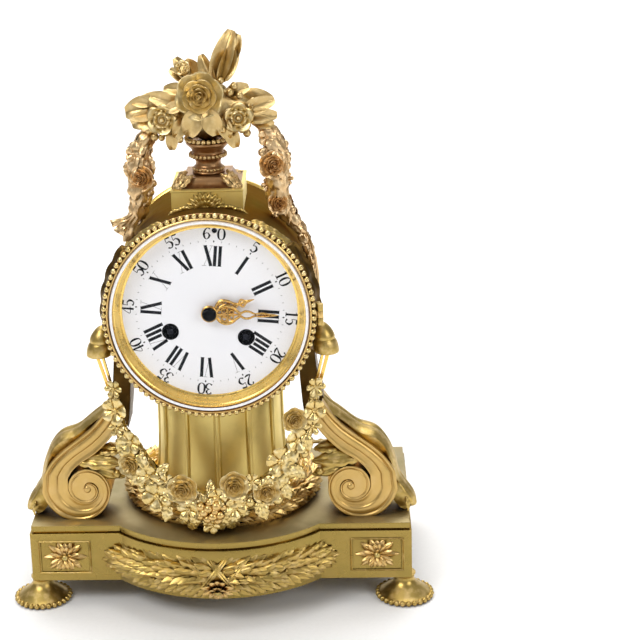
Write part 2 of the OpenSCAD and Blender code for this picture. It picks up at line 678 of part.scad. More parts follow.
// Openwork hand along +Z with its hub at the origin: scroll rings, then a fine barbed point
module hand_2d(length, w) {
    start = hub_r + 1.6;
    difference() {
        union() {
            circle(hub_r);
            translate([-hub_r * 0.55, 0]) square([hub_r * 1.1, start + 1]);
            for (q = hand_rings) for (s = [-1, 1]) translate([s * q[0] * w, start + q[1] * w])
                circle(q[2] * w);
            polygon([[-0.55, start], [0.55, start], [0.5, length - 3], [0, length], [-0.5, length - 3]]);
            translate([0, (start + 1.1 * w + length) / 2]) {
                circle(w * 0.12);
                polygon([[-w * 0.2, -1.4], [0, 0], [w * 0.2, -1.4], [0, 2.4]]);
            }
        }
        for (q = hand_rings) for (s = [-1, 1]) translate([s * q[0] * w, start + q[1] * w])
            circle(q[3] * w);
    }
}
module hand(y, angle, length, w, bore) rotate([0, angle, 0]) difference() {
    across(y - hand_t, y) hand_2d(length, w);
    rod(bore, y - hand_t - 1, y + 1);
}
module minute_hand() color(bright_gilt) in_movement() {
    hand(minute_hand_y, minute_angle, minute_len, 8.4, centre_r + seat);
    difference() {
        union() {
            rod(cannon_r, minute_hand_y - 0.1, cannon_y + 0.2);
            across(cannon_y, cannon_y + 1) pinion_2d(motion_teeth, motion_m, 0);
        }
        rod(centre_r + seat, minute_hand_y - 3, plate_y);
    }
}
module hour_hand() color(bright_gilt) in_movement()
    hand(hour_hand_y, hour_angle, hour_len, 9.6, hour_pipe_r + seat);
module hour_wheel() color(plain_brass) in_movement() difference() {
    union() {
        rod(hour_pipe_r, hour_hand_y - hand_t, hour_y + 0.2);
        across(hour_y, hour_y + 0.8) gear_2d(4 * hour_leaves, hour_m, hour_phase);
    }
    rod(cannon_r + sleeve_gap, hour_hand_y - 3, plate_y);
}
module minute_wheel() color(plain_brass) in_movement() at(motion_at) difference() {
    union() {
        across(cannon_y + 0.1, cannon_y + 0.9)
            gear_2d(3 * motion_teeth, motion_m, motion_phase);
        across(hour_y - 0.2, cannon_y + 0.2) pinion_2d(hour_leaves, hour_m, motion_phase);
    }
    rod(motion_post_r + run_gap, hour_y - 2, plate_y);
}
module hand_nut() color(blackened) in_movement() difference() {
    lathe() polygon([[0, minute_hand_y - hand_t - 1.7], [1.4, minute_hand_y - hand_t - 1.6],
        [2.8, minute_hand_y - hand_t - 1], [3.4, minute_hand_y - hand_t - seat],
        [0, minute_hand_y - hand_t - seat]]);
    rod(centre_r + seat, minute_hand_y - hand_t - 1.1, plate_y);
}
module centre_wheel() color(plain_brass) in_movement() {
    rod(centre_r, minute_hand_y - hand_t - 1, gap_end - 0.1);
    rod(pivot_r, gap_end - 1, back_y - 0.3);
    across(gap_end - 2.2, gap_end - 1.2) spoked(centre_teeth, centre_m, centre_phase, 1.6, 2.6, 5, 1);
    across(gap_end - 5.4, gap_end - 2.6) pinion_2d(pinion_teeth, second_m, centre_phase);
}

// Going train
great_y = gap_y + 1;
drum_end = great_y + 14.4;
module barrel(phase) {
    difference() {
        union() {
            across(great_y, great_y + 1.8) gear_2d(great_teeth, great_m, phase);
            rod(barrel_r, great_y + 0.2, drum_end);
        }
        rod(barrel_r - 1, great_y + 1.8, drum_end - 1.2);
        rod(barrel_bore_r, great_y - 1, drum_end + 1);
    }
}
barrel_bore_r = 2.5;
module going_barrel() color(plain_brass) in_movement() at(going_at) barrel(0);
module strike_barrel() color(plain_brass) in_movement() at(strike_at) barrel(0);
spring_turns = 6;
spring_t = 0.5;
// Coiled strip from the barrel's wall in to the arbor
module coil_2d() {
    r0 = barrel_r - 1.9;
    r1 = barrel_bore_r + 2;
    steps = 24 * spring_turns;
    outer = [for (i = [0:steps]) let (r = r0 - (r0 - r1) * i / steps, a = i * 15)
        (r + spring_t / 2) * [cos(a), sin(a)]];
    inner = [for (i = [steps:-1:0]) let (r = r0 - (r0 - r1) * i / steps, a = i * 15)
        (r - spring_t / 2) * [cos(a), sin(a)]];
    polygon(concat(outer, inner));
}
module mainspring() across(great_y + 2.3, drum_end - 1.8) coil_2d();
module going_mainspring() color(steel) in_movement() at(going_at) mainspring();
module strike_mainspring() color(steel) in_movement() at(strike_at) mainspring();
module barrel_arbor() {
    rod(barrel_pivot_r, plate_y - 2, back_y + 1);
    rod(barrel_bore_r - run_gap, gap_y + 0.1, gap_end - 0.1);
    across(pan_y - dial_t + 0.5, plate_y - 1) square(square_w, center = true);
    across(plate_y - 1.9, plate_y - 0.5) ratchet_2d();
}
ratchet_r = 6.4;
ratchet_teeth = 24;
module ratchet_2d() polygon([for (i = [0:ratchet_teeth - 1]) for (k = [0, 1])
    (ratchet_r - k * 0.9) * [cos((i + k * 0.12) * 360 / ratchet_teeth),
        sin((i + k * 0.12) * 360 / ratchet_teeth)]]);
module going_arbor() color(steel) in_movement() at(going_at) barrel_arbor();
module strike_arbor() color(steel) in_movement() at(strike_at) barrel_arbor();
// Each click is a pawl on a shouldered screw, with its beak just clear of the ratchet
module winding_clicks() color(steel) in_movement() for (p = [going_at, strike_at]) at(p) {
    across(plate_y - 1.8, plate_y - 0.6) polygon([[-2, ratchet_r + 3.4], [4.6, ratchet_r + 2.6],
        [5.6, ratchet_r + 4.2], [4.4, ratchet_r + 5.6], [-1.6, ratchet_r + 4.6]]);
    at([4.2, ratchet_r + 4.2]) rod(0.9, plate_y - 2.6, plate_y - seat);
    at([4.2, ratchet_r + 4.2]) rod(1.6, plate_y - 2.7, plate_y - 2);
    across(plate_y - 1.8, plate_y - 0.6) polygon([[-2, ratchet_r + 3.4], [-1.4, ratchet_r + 3.8],
        [-1.2, ratchet_r + 0.25], [-1.8, ratchet_r + 0.25]]);
}
module second_wheel() color(plain_brass) in_movement() at(second_at) {
    arbor(arbor_r);
    across(great_y - 0.4, great_y + 2.2) pinion_2d(pinion_teeth, great_m, second_phase);
    across(gap_end - 4.4, gap_end - 3.4) spoked(second_teeth, second_m, second_phase, 1.6, 2.6, 5, 1);
}
module third_wheel() color(plain_brass) in_movement() at(third_at) {
    arbor(fine_arbor_r);
    across(gap_end - 2.6, gap_end - 0.8) pinion_2d(fine_leaves, centre_m, third_phase);
    across(gap_end - 10.4, gap_end - 9.6) spoked(third_teeth, third_m, 0, 1.3, 2, 5, 0.8);
}
// One escape tooth: [share of the pitch, depth below the tip]
escape_tooth = [[-0.2, 1.5], [-0.08, 0.3], [0, 0], [0.06, 0.3], [0.12, 1.5]];
// Escape pinion: its leaves stop short of the third wheel's teeth
module escape_wheel() color(plain_brass) in_movement() at(escape_at) {
    arbor(fine_arbor_r);
    rod(third_dist - third_teeth * third_m / 2 - third_m * 0.8 - 0.1, gap_end - 11.4, gap_end - 8.6);
    across(gap_end - 7.4, gap_end - 6.6) difference() {
        polygon([for (i = [0:escape_teeth - 1]) for (k = escape_tooth)
            let (a = (i + k[0]) * tooth_step(escape_teeth))
            (escape_r - k[1]) * [cos(a), sin(a)]]);
        difference() {
            circle(escape_r - 2.7);
            circle(1.8);
            for (i = [0:4]) rotate(i * 72) translate([0, -0.4]) square([escape_r, 0.8]);
        }
    }
}
// Anchor: each arm ends in a nib where the wheel's radius is square to the arm
pallet_a = acos((escape_r + pallet_gap) / (anchor_z - escape_z));
crutch_len = 27;
module anchor() color(steel) in_movement() at(anchor_at) {
    rod(arbor_r, gap_y + 0.1, back_y + 2.4);
    rod(pivot_r, plate_y + 0.3, gap_y + 1);
    across(gap_end - 7.8, gap_end - 6.2) difference() {
        union() {
            circle(2.4);
            for (s = [0, 1]) mirror([s, 0]) rotate(90 - pallet_a) {
                translate([0.5, -pallet_arm - 0.25]) square([1.6, pallet_arm + 0.25]);
                translate([0, -pallet_arm - 0.25]) square([0.6, 0.5]);
            }
        }
        circle(0.2);
    }
    rotate([0, -dial_turn, 0]) {
        translate([-0.8, back_y + 1.2, -crutch_len]) cube([1.6, 1, crutch_len + 2]);
        translate([-rod_r - 1.3, back_y + 1.2, -crutch_len]) cube([2 * rod_r + 2.6, 1, 2]);
        for (s = [-1, 1]) translate([s * (rod_r + 0.8) - 0.5, back_y + 1.2, -crutch_len])
            cube([1, pend_behind + 0.4, 2]);
    }
}
pallet_arm = (anchor_z - escape_z) * sin(pallet_a);
// Cock behind the back plate, from which the pendulum's strip spring hangs
module back_cock() color(plain_brass) translate([pend_x, axis_y, pend_z]) {
    difference() {
        translate([-8, back_y + seat, -3.5]) cube([16, pend_behind + 2.4, 12]);
        translate([-4.6, back_y - 1, -20]) cube([9.2, pend_behind + 6, 23.4]);
        translate([-20, back_y + 4, -20]) cube([40, pend_behind + 6, 21.4]);
    }
    color(steel) translate([-0.15, pend_y - 1.6, 0.3]) cube([0.3, 3.2, 3.4]);
}

// Pendulum
module in_pendulum() translate([pend_x, axis_y + pend_y, pend_z]) children();
module pendulum_rod() color(steel) in_pendulum() {
    translate([-1, -2.2, -6]) cube([2, 4.4, 5.6]);
    translate([0, 0, -pend_len - bob_r - 6]) cylinder(r = rod_r, h = pend_len + bob_r + 1);
}
module pendulum_bob() color(bright_gilt) in_pendulum() translate([0, 0, -pend_len]) difference() {
    lathe() polygon([[0, -bob_t / 2], [bob_r * 0.6, -bob_t / 2 + 0.6], [bob_r, -0.6], [bob_r, 0.6],
        [bob_r * 0.6, bob_t / 2 - 0.6], [0, bob_t / 2]]);
    translate([0, 0, -bob_r - 1]) cylinder(r = rod_r + seat, h = 2 * bob_r + 2);
}
module rating_nut() color(plain_brass) in_pendulum() translate([0, 0, -pend_len - bob_r - 3.2])
    difference() {
        cylinder(r = 3, h = 2.8);
        translate([0, 0, -1]) cylinder(r = rod_r + run_gap, h = 6);
    }
module regulator_arbor() color(blackened) in_movement() at([0, regulator_z]) {
    rod(0.8, dial_y + 0.6, pan_y + 2);
    across(dial_y + 0.4, dial_y + 1) square(1.5, center = true);
    rod(1.45, dial_y + 1, dial_y + dial_t);
    rod(2.2, pan_y + 1.2 + seat, pan_y + 2.2);
}

// Striking train
module strike_wheel() color(plain_brass) in_movement() at(strike2_at) {
    rod(arbor_r, gap_y + 0.1, back_y + 1.8);
    rod(pivot_r, plate_y + 0.3, gap_y + 1);
    across(great_y - 0.4, great_y + 2.2) pinion_2d(pinion_teeth, great_m, strike2_phase);
    across(gap_end - 3.6, gap_end - 2.6) spoked(strike2_teeth, second_m, strike2_phase, 1.6, 2.6, 5, 1);
}
pins = 10;
module pin_wheel() color(plain_brass) in_movement() at(pin_at) {
    arbor(arbor_r);
    across(gap_end - 4.2, gap_end - 2) pinion_2d(pin_leaves, second_m, pin_phase);
    across(gap_end - 8.4, gap_end - 7.6) difference() {
        circle(7.6);
        for (i = [0:4]) rotate(i * 72) translate([4.2, 0]) circle(1.5);
    }
    for (i = [0:pins - 1]) at(6.6 * [cos(i * 360 / pins), sin(i * 360 / pins)])
        rod(0.35, gap_end - 7.8, gap_end - 6.2);
}
// Count wheel: notches spaced by the sum of the strokes of each hour
function strokes(h) = h <= 0 ? 0 : h + 1 + strokes(h - 1);
count_r = 9.6;
module count_wheel() color(plain_brass) in_movement() at(strike2_at)
    difference() {
        across(back_y + 0.5, back_y + 1.5) difference() {
            circle(count_r);
            for (h = [0:11]) rotate(strokes(h) * 4) translate([count_r - 1.2, -0.35]) square([2, 0.7]);
            for (i = [0:4]) rotate(i * 72) translate([5.6, 0]) circle(1.8);
        }
        rod(arbor_r + seat, back_y, back_y + 3);
    }
bell_at = [0, -3];
crown_y = bell_y + bell_h;
module bell_stand() color(plain_brass) in_movement() {
    at(stand_at) rod(1.8, back_y + seat, crown_y + 2.4);
    at(stand_at) rod(2.8, back_y + seat, back_y + 1.4);
    across(crown_y + 0.1, crown_y + 1.6) {
        hull() {
            translate(stand_at) circle(2.2);
            translate(bell_at) circle(2.2);
        }
    }
    at(bell_at) rod(1, crown_y - bell_wall - 1.2, crown_y + 3);
    at(bell_at) rod(2.2, crown_y - bell_wall - 1.4, crown_y - bell_wall - 0.1);
}
module bell() color(steel) in_movement() at(bell_at) difference() {
    lathe() polygon(concat([[0, crown_y]],
        [for (a = [75:-15:0]) [bell_r * 0.86 * cos(a), bell_y + 2 + (bell_h - 2) * sin(a)]],
        [[bell_r, bell_y], [bell_r - bell_wall, bell_y]],
        [for (a = [0:15:75]) [(bell_r * 0.86 - bell_wall) * cos(a), bell_y + 2 + (bell_h - 2 - bell_wall)
            * sin(a)]],
        [[0, crown_y - bell_wall]]));
    rod(1 + seat, crown_y - 5, crown_y + 2);
}
// The hammer's head rests beside the bell's rim, and its arm runs from its arbor to it
head_at = bell_at + (bell_r + 3) * [cos(215), sin(215)];
hammer_turn = 90 - aim(hammer_at, head_at);
hammer_len = norm(head_at - hammer_at);
module hammer() color(steel) in_movement() at(hammer_at) {
    rod(arbor_r, gap_y + 0.1, bell_y + 4);
    rod(pivot_r, plate_y + 0.3, gap_y + 1);
    rotate([0, hammer_turn, 0]) {
        translate([-0.8, bell_y + 1.4, 0]) cube([1.6, 1.6, hammer_len]);
        translate([-4, bell_y + 2.2, hammer_len]) rotate([0, 90, 0]) cylinder(r = 2.2, h = 5.6);
    }
}

// Consoles: an S scroll that ends in a volute, seen from the front on the right side
function bezier(p, t) = p[0] * pow(1 - t, 3) + 3 * p[1] * t * pow(1 - t, 2)
    + 3 * p[2] * t * t * (1 - t) + p[3] * pow(t, 3);
function spiral(turn, in = 0) = [volute_x, volute_z]
    + (volute_r - in - volute_loss * pow(turn / 360, 1.15)) * [cos(turn), -sin(turn)];
neck_x = drum_r + 3.5;
neck_z = volute_z + 55;
outer_curve = [[neck_x, neck_z], [neck_x + 13, volute_z + 28], [volute_x + volute_r, volute_z + 23],
    [volute_x + volute_r, volute_z]];
inner_curve = [[volute_x + 4.5, volute_z + 11], [volute_x + 4, volute_z + 13],
    [neck_x + 3, volute_z + 25], [neck_x - 8, neck_z - 7]];
console_outline = concat([for (t = [0:0.1:0.9]) bezier(outer_curve, t)],
    [for (a = [0:15:270]) spiral(a)], [for (t = [0:0.125:1]) bezier(inner_curve, t)]);
module console_body() difference() {
    union() {
        across(-console_front, -console_front + console_d) polygon(console_outline);
        across(-console_front + 5, -console_front + console_d + 12) polygon([[neck_x - 9, neck_z - 16],
            [neck_x - 8.6, neck_z + 6], [neck_x - 10, drum_z - 20], [neck_x, drum_z - 12],
            [neck_x + 0.5, neck_z + 4], [neck_x + 3, neck_z - 10]]);
        across(-console_front + 8, -console_front + console_d + 4) polygon(leaf_outline);
        translate([0, -console_front, 0]) at([volute_x, volute_z]) rod(4.4, -1.4, 1);
    }
    across(-console_front - 5, -console_front + groove_d) polygon(concat(
        [for (t = [0:0.1:0.9]) bezier(outer_curve, t) - [1.6, 3.4]],
        [for (a = [0:15:250]) spiral(a, 3.4)], [for (a = [250:-15:0]) spiral(a, 7.4)],
        [for (t = [0.9:-0.1:0]) bezier(outer_curve, t) - [3.4, 7.2]]));
    drum_cut(seat);
}
leaf_outline = [[neck_x + 4, neck_z - 10], [neck_x + 16, neck_z - 15], [volute_x + 7, volute_z + 34],
    [volute_x + 15, volute_z + 28], [volute_x + 20, volute_z + 18], [volute_x + 24, volute_z + 6],
    [volute_x + 29, volute_z - 2], [volute_x + 34, volute_z - 9], [volute_x + 34.6, volute_z - 15],
    [volute_x + 30, base_top + 0.1], [volute_x + 23, base_top + 3], [volute_x + 14, volute_z],
    [volute_x, volute_z + 22]];
module console_right() color(gilt) in_case() console_body();
module console_left() color(gilt) in_case() mirror([1, 0, 0]) console_body();

// Boss at the side of the drum, the strap that hangs from it and the leaf above
boss_x = drum_r + 8.4;
boss_y = -drum_front + 13;
boss_z = drum_z - 27;
module drum_side() {
    difference() {
        union() {
            translate([boss_x, boss_y, boss_z]) rotate_extrude() polygon([[0, 1], [3.4, 0],
                [5.4, 2], [6.2, 6], [5.6, 11.4], [4.4, 13], [4, 17], [2, 21.5], [0, 22]]);
            translate([0, 0, drum_z]) rotate([-90, 0, 0]) rotate_extrude(angle = -50, $fn = 96)
                polygon([[drum_r - 0.5, boss_y - 7], [drum_r + 2.6, boss_y - 4], [drum_r + 3.4, boss_y],
                    [drum_r + 2.6, boss_y + 6], [drum_r - 0.5, boss_y + 12]]);
            translate([drum_r - 3, boss_y - 4, boss_z + 4]) cube([9, 8, 24]);
        }
        translate([0, 0, drum_z]) rod(drum_r + seat, -drum_front - 1, drum_back);
    }
    hull() {
        translate([boss_x - 0.4, boss_y - 3, boss_z + 1.4]) cube([2, 1, 0.6]);
        translate([neck_x + 0.8, boss_y - 2.6, boss_z - 20]) cube([2, 1, 0.6]);
    }
}
module drum_leaf_right() color(gilt) in_case() drum_side();
module drum_leaf_left() color(gilt) in_case() mirror([1, 0, 0]) drum_side();

// Crown: plinth, urn, flowers
crown_at = [0, axis_y + drum_mid];
plinth_d = plinth_w + 3;
module top_plinth() color(gilt) translate([0, crown_at[1], 0]) difference() {
    union() {
        translate([-plinth_w / 2, -plinth_d / 2, drum_z + drum_r - 8])
            cube([plinth_w, plinth_d, plinth_top - drum_z - drum_r + 8]);
        for (i = [0:4]) translate([0, 0, plinth_top + i * cavetto_h / 5 - seat * i]) linear_extrude(
            cavetto_h / 5) square((plinth_w - 5) - (plinth_w - 5 - 2 * urn_r) * sin(90 * (i + 1) / 5),
            center = true);
    }
    translate([0, -drum_mid, drum_z]) rod(drum_r + seat, -drum_front - 1, rear_face + 3);
}
urn_profile = [[0, urn_z], [urn_r * 0.68, urn_z], [urn_r * 0.68, urn_z + urn_h * 0.14],
    [urn_r * 0.56, urn_z + urn_h * 0.22], [urn_r * 0.6, urn_z + urn_h * 0.42],
    [urn_r * 0.86, urn_z + urn_h * 0.48], [urn_r * 0.9, urn_z + urn_h * 0.54],
    [urn_r * 0.86, urn_z + urn_h * 0.6], [urn_r * 0.72, urn_z + urn_h * 0.64],
    [urn_r * 0.84, urn_z + urn_h * 0.8], [urn_r, urn_z + urn_h * 0.88], [urn_r, lip_z], [0, lip_z]];
module urn() color(worn_gilt) translate([0, crown_at[1], 0]) rotate_extrude() polygon(urn_profile);

// A leaf along +Z, curled towards -Y, with its foot at the origin
module leaf(length, w, t = 1.2, curl = 2) hull() {
    sphere(t * 0.5, $fn = 5);
    translate([0, -curl * 0.6, length * 0.56]) scale([w * 0.5, t * 0.5, length * 0.34])
        sphere(1, $fn = 8);
    translate([0, -curl, length]) sphere(t * 0.4, $fn = 4);
}
module rose(r) {
    scale([1, 0.7, 1]) sphere(r, $fn = 14);
    translate([0, -r * 0.62, 0]) scale([1, 0.5, 1]) sphere(r * 0.5, $fn = 10);
}
// Flowers of the bouquet: [across, forward, above the lip, radius, petals]
bouquet_flowers = [[-24, 5.6, 14.5, 8.6, 6], [18.8, 6.6, 15.5, 7.8, 6], [-7.6, 6.8, 9.4, 5, 5],
    [5.8, 7.6, 9.2, 5, 5], [-18, -5.6, 17, 7, 5], [18, -5.6, 17, 7, 5], [0, -7.6, 22, 9, 6]];
// Leaves: [across, forward, above the lip, length, width, lean right]
bouquet_leaves = [[4, 1, 31, 33.5, 10, 20], [6.6, 0, 30, 31, 9, 34], [-4, 1, 31, 22, 8, -42],
    [-22, 2, 16, 24, 9, -82], [-12, 3, 22, 22, 9, -60], [22, 2, 16, 19, 8, 80], [17, 2, 20, 19, 7, 62],
    [-16, 3, 8, 13, 6, -110], [13, 3, 8, 12, 6, 115], [0, -4, 28, 20, 9, -10]];
// The mass of foliage that carries the flowers
module bouquet_mass(extra) hull() {
    translate([0, 0, 1]) sphere(urn_r * 0.8 + extra, $fn = 12);
    translate([0, -2, 26]) sphere(11 + extra, $fn = 10);
    for (s = [-1, 1]) translate([s * 22, 0, 14]) sphere(7 + extra, $fn = 8);
}
module bouquet() color(worn_gilt) translate([0, crown_at[1], lip_z]) difference() {
    union() {
        bouquet_mass(0);
        translate([-2.6, -11, 27]) rose(rose_r);
        for (f = bouquet_flowers) translate([f[0], -f[1], f[2]]) rotate([f[1] < 0 ? 180 : 0, 0, 0])
            flower(f[3], f[4], 3);
        for (l = bouquet_leaves) translate([l[0], -l[1], l[2]]) rotate([0, l[5], 0])
            leaf(l[3], l[4], 2.2, 3);
    }
    translate([0, 0, -20 + seat]) cube([60, 60, 40], center = true);
}
// A garland through points, swelling and shrinking from one to the next
module garland(points, sizes, facing = 0) for (i = [0:len(points) - 2]) hull() {
    translate(points[i]) sphere(sizes[i], $fn = 8);
    translate(points[i + 1]) sphere(sizes[i + 1], $fn = 8);
}
// Points of the garlands: [share of the drum's radius across, forward, above the lip]
garland_shares_l = [[-0.48, 1, 9], [-0.613, 0, -3], [-0.668, 0, -20], [-0.693, 0, -33],
    [-0.728, 1, -41]];
garland_shares_r = [[0.48, 1, 10], [0.613, 0, 0], [0.686, 0, -16], [0.682, 0, -33], [0.799, 1, -44]];
garland_l = [for (q = garland_shares_l) [q[0] * drum_r, q[1], q[2]]];
garland_r = [for (q = garland_shares_r) [q[0] * drum_r, q[1], q[2]]];
garland_sizes = [4.6, 4.4, 7, 5.2, 2.6];
// Each tail comes to rest on the drum, this far round from the top
tail_turn = [57, 74];
function tail_end(a) = [(drum_r + 0.8) * sin(a), 1, drum_z - lip_z + (drum_r + 0.8) * cos(a)];
module garland_piece(points, tail, flare) color(worn_gilt) difference() {
    translate([0, crown_at[1], lip_z]) {
        garland(points, garland_sizes);
        translate(points[2] + [0, -4, 0]) flower(7.4, 6, 3);
        translate(points[3] + [0, -3, 0]) flower(5.2, 5, 3);
        garland([points[4], tail], [2.6, 1.6]);
        garland([points[4], flare], [2.2, 1]);
    }
    in_drum() rod(drum_r + seat, -drum_front - 1, drum_back + 10);
    translate([0, crown_at[1], lip_z]) bouquet_mass(seat);
}
module top_garland_left()
    garland_piece(garland_l, tail_end(-tail_turn[0]), [-0.96 * drum_r, 0, -48.5]);
module top_garland_right()
    garland_piece(garland_r, tail_end(tail_turn[1]), [0.917 * drum_r, 0, -54]);

// Swag across the front, in the column's frame, from the right console to the middle
swag_y = -console_front - 6;
swag_low = base_top + 17;
swag_top = boss_z - 19;
// Points of the swag: [share of the way out to the strap, forward, share of the way up to it]
swag_shares = [[1, 0, 1], [0.99, 0, 0.82], [0.95, 1, 0.66], [0.83, 3, 0.5], [0.71, 6, 0.35],
    [0.54, 10, 0.2], [0.34, 13, 0.08]];
function swag_place(q) = [q[0] * (neck_x - 2.3), swag_y - q[1], swag_low + q[2] * (swag_top - swag_low)];
swag_run = [for (q = swag_shares) swag_place(q)];
swag_sizes = swag_r * [0.88, 0.72, 0.92, 1, 1.2, 1.28, 1.4];
swag_split = swag_run[6][0] - 1;
module swag_side() difference() {
    union() {
        garland(swag_run, swag_sizes);
        for (i = [0, 1, 3, 5]) translate(swag_run[i] + [0, -swag_sizes[i] * 0.7, 0])
            flower(swag_sizes[i] + 1.4, 6, 2.6);
    }
    ring_shape(seat);
    across(-console_front + seat - 0.04, 50) square([400, 800], center = true);
}
// Everything nearer to the middle than the split, less a gap
module swag_middle(gap) translate([-swag_split + gap, -200, 0])
    cube([2 * swag_split - 2 * gap, 400, drum_z]);
module swag_right() color(worn_gilt) in_case() difference() {
    swag_side();
    swag_middle(0);
}
module swag_left() color(worn_gilt) in_case() mirror([1, 0, 0]) difference() {
    swag_side();
    swag_middle(0);
}
swag_mid = [for (q = [[-0.12, 15, 0.02], [0.12, 15, 0.02]]) swag_place(q)];
module swag_centre() color(worn_gilt) in_case() difference() {
    intersection() {
        union() {
            garland([[-swag_run[6][0], swag_run[6][1], swag_run[6][2]], swag_mid[0], swag_mid[1],
                swag_run[6]], swag_r * [1.4, 1.7, 1.7, 1.4]);
            translate([0, swag_y - 20, swag_low - 1]) flower(9.5, 8, 4);
            both_sides() translate([swag_split * 0.62, swag_y - 17, swag_low + 11]) flower(6, 6, 3);
        }
        swag_middle(seat);
    }
    ring_shape(seat);
    translate([0, 0, base_top - 5]) cylinder(r = col_r + col_flare + 3, h = drum_z - base_top - drum_r);
}

base_frame();
base_slab();
bow_laurel();
panel_rosettes();
feet();
socle_ring();
column();
tie_rods();
drum_barrel();
rear_bezel();
back_door();
front_bezel();
glass();
sight_ring();
dial();
console_left();
console_right();
drum_leaf_left();
drum_leaf_right();
top_plinth();
urn();
bouquet();
top_garland_left();
top_garland_right();
swag_left();
swag_centre();
swag_right();
front_plate();
back_plate();
plate_pillars();
dial_pan();
movement_straps();
minute_hand();
hour_hand();
hand_nut();
minute_wheel();
hour_wheel();
going_barrel();
strike_barrel();
going_mainspring();
strike_mainspring();
going_arbor();
strike_arbor();
winding_clicks();
second_wheel();
centre_wheel();
third_wheel();
escape_wheel();
anchor();
back_cock();
pendulum_rod();
pendulum_bob();
rating_nut();
regulator_arbor();
strike_wheel();
pin_wheel();
count_wheel();
bell_stand();
bell();
hammer();
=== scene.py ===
import bpy
import bmesh
import math
import random
from mathutils import Matrix, Vector, noise


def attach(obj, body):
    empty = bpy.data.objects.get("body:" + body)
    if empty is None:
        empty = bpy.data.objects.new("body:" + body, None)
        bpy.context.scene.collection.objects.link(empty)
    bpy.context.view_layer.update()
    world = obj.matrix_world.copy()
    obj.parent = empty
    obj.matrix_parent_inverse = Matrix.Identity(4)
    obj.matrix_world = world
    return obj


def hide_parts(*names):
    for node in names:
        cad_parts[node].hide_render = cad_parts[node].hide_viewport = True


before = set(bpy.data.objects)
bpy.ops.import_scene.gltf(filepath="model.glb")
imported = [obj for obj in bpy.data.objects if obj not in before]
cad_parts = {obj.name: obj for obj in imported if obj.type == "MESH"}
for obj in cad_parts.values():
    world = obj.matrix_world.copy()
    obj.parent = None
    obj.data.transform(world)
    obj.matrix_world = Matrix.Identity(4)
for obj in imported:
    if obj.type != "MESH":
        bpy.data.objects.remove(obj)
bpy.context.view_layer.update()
print("frame loaded:", len(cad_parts), "nodes")

# Everything is laid out in millimetres from the column's axis: x right, y back, z up
clock = {
    "axisBack": 9.4,      # the column's axis behind the middle of the bounding box
    "drumZ": 180.1,
    "drumR": 56.3,
    "drumFront": -59.0,
    "dialTurn": 5.5,      # degrees, the movement has slipped clockwise
    "crownY": -14.8,      # the urn's axis, in front of the column's
}


def toFrame(p):
    return Vector((p[0], p[1] + clock["axisBack"], p[2])) * 0.001


def drumHalf(x):
    # Half the drum's height at x from its middle
    return math.sqrt(max(0.0, clock["drumR"] ** 2 - x * x))


def turns(count, start=0.0):
    # Angles of count places evenly round a circle, the first one start steps on
    return [2 * math.pi * (k + start) / count for k in range(count)]


def toLinear(colour):
    channels = [int(colour[i:i + 2], 16) / 255 for i in (1, 3, 5)]
    return tuple(c / 12.92 if c <= 0.04045 else ((c + 0.055) / 1.055) ** 2.4 for c in channels) + (1.0,)


def addNode(tree, kind, inputs=None, links=None, **settings):
    node = tree.nodes.new(kind)
    for key, value in settings.items():
        setattr(node, key, value)
    for key, value in (inputs or {}).items():
        node.inputs[key].default_value = value
    for key, (source, output) in (links or {}).items():
        tree.links.new(source.outputs[output], node.inputs[key])
    return node


def newMaterial(name, inputs=None):
    material = bpy.data.materials.new(name)
    material.use_nodes = True
    tree = material.node_tree
    tree.nodes.clear()
    shader = addNode(tree, "ShaderNodeBsdfPrincipled", inputs)
    addNode(tree, "ShaderNodeOutputMaterial", links={"Surface": (shader, "BSDF")})
    return material, tree, shader


def joinShader(tree, shader, sources):
    for socket, (node, output) in sources.items():
        tree.links.new(node.outputs[output], shader.inputs[socket])


def mottle(tree, shader, colours, scale, detail=2.0):
    # Base colour that wanders between two close colours, in patches 1000 / scale mm across
    place = addNode(tree, "ShaderNodeTexCoord")
    cloud = addNode(tree, "ShaderNodeTexNoise", {"Scale": scale, "Detail": detail}, {"Vector": (place, "Object")})
    tone = addNode(tree, "ShaderNodeMix", {"A": toLinear(colours[0]), "B": toLinear(colours[1])},
                   {"Factor": (cloud, "Fac")}, data_type="RGBA")
    joinShader(tree, shader, {"Base Color": (tone, "Result")})
    return place


def plainMaterial(name, colours, scale, inputs):
    material, tree, shader = newMaterial(name, inputs)
    mottle(tree, shader, colours, scale)
    return material


def setRamp(node, stops):
    ramp = node.color_ramp
    while len(ramp.elements) > 1:
        ramp.elements.remove(ramp.elements[0])
    ramp.elements[0].position = stops[0][0]
    ramp.elements[0].color = toLinear(stops[0][1])
    for place, colour in stops[1:]:
        ramp.elements.new(place).color = toLinear(colour)


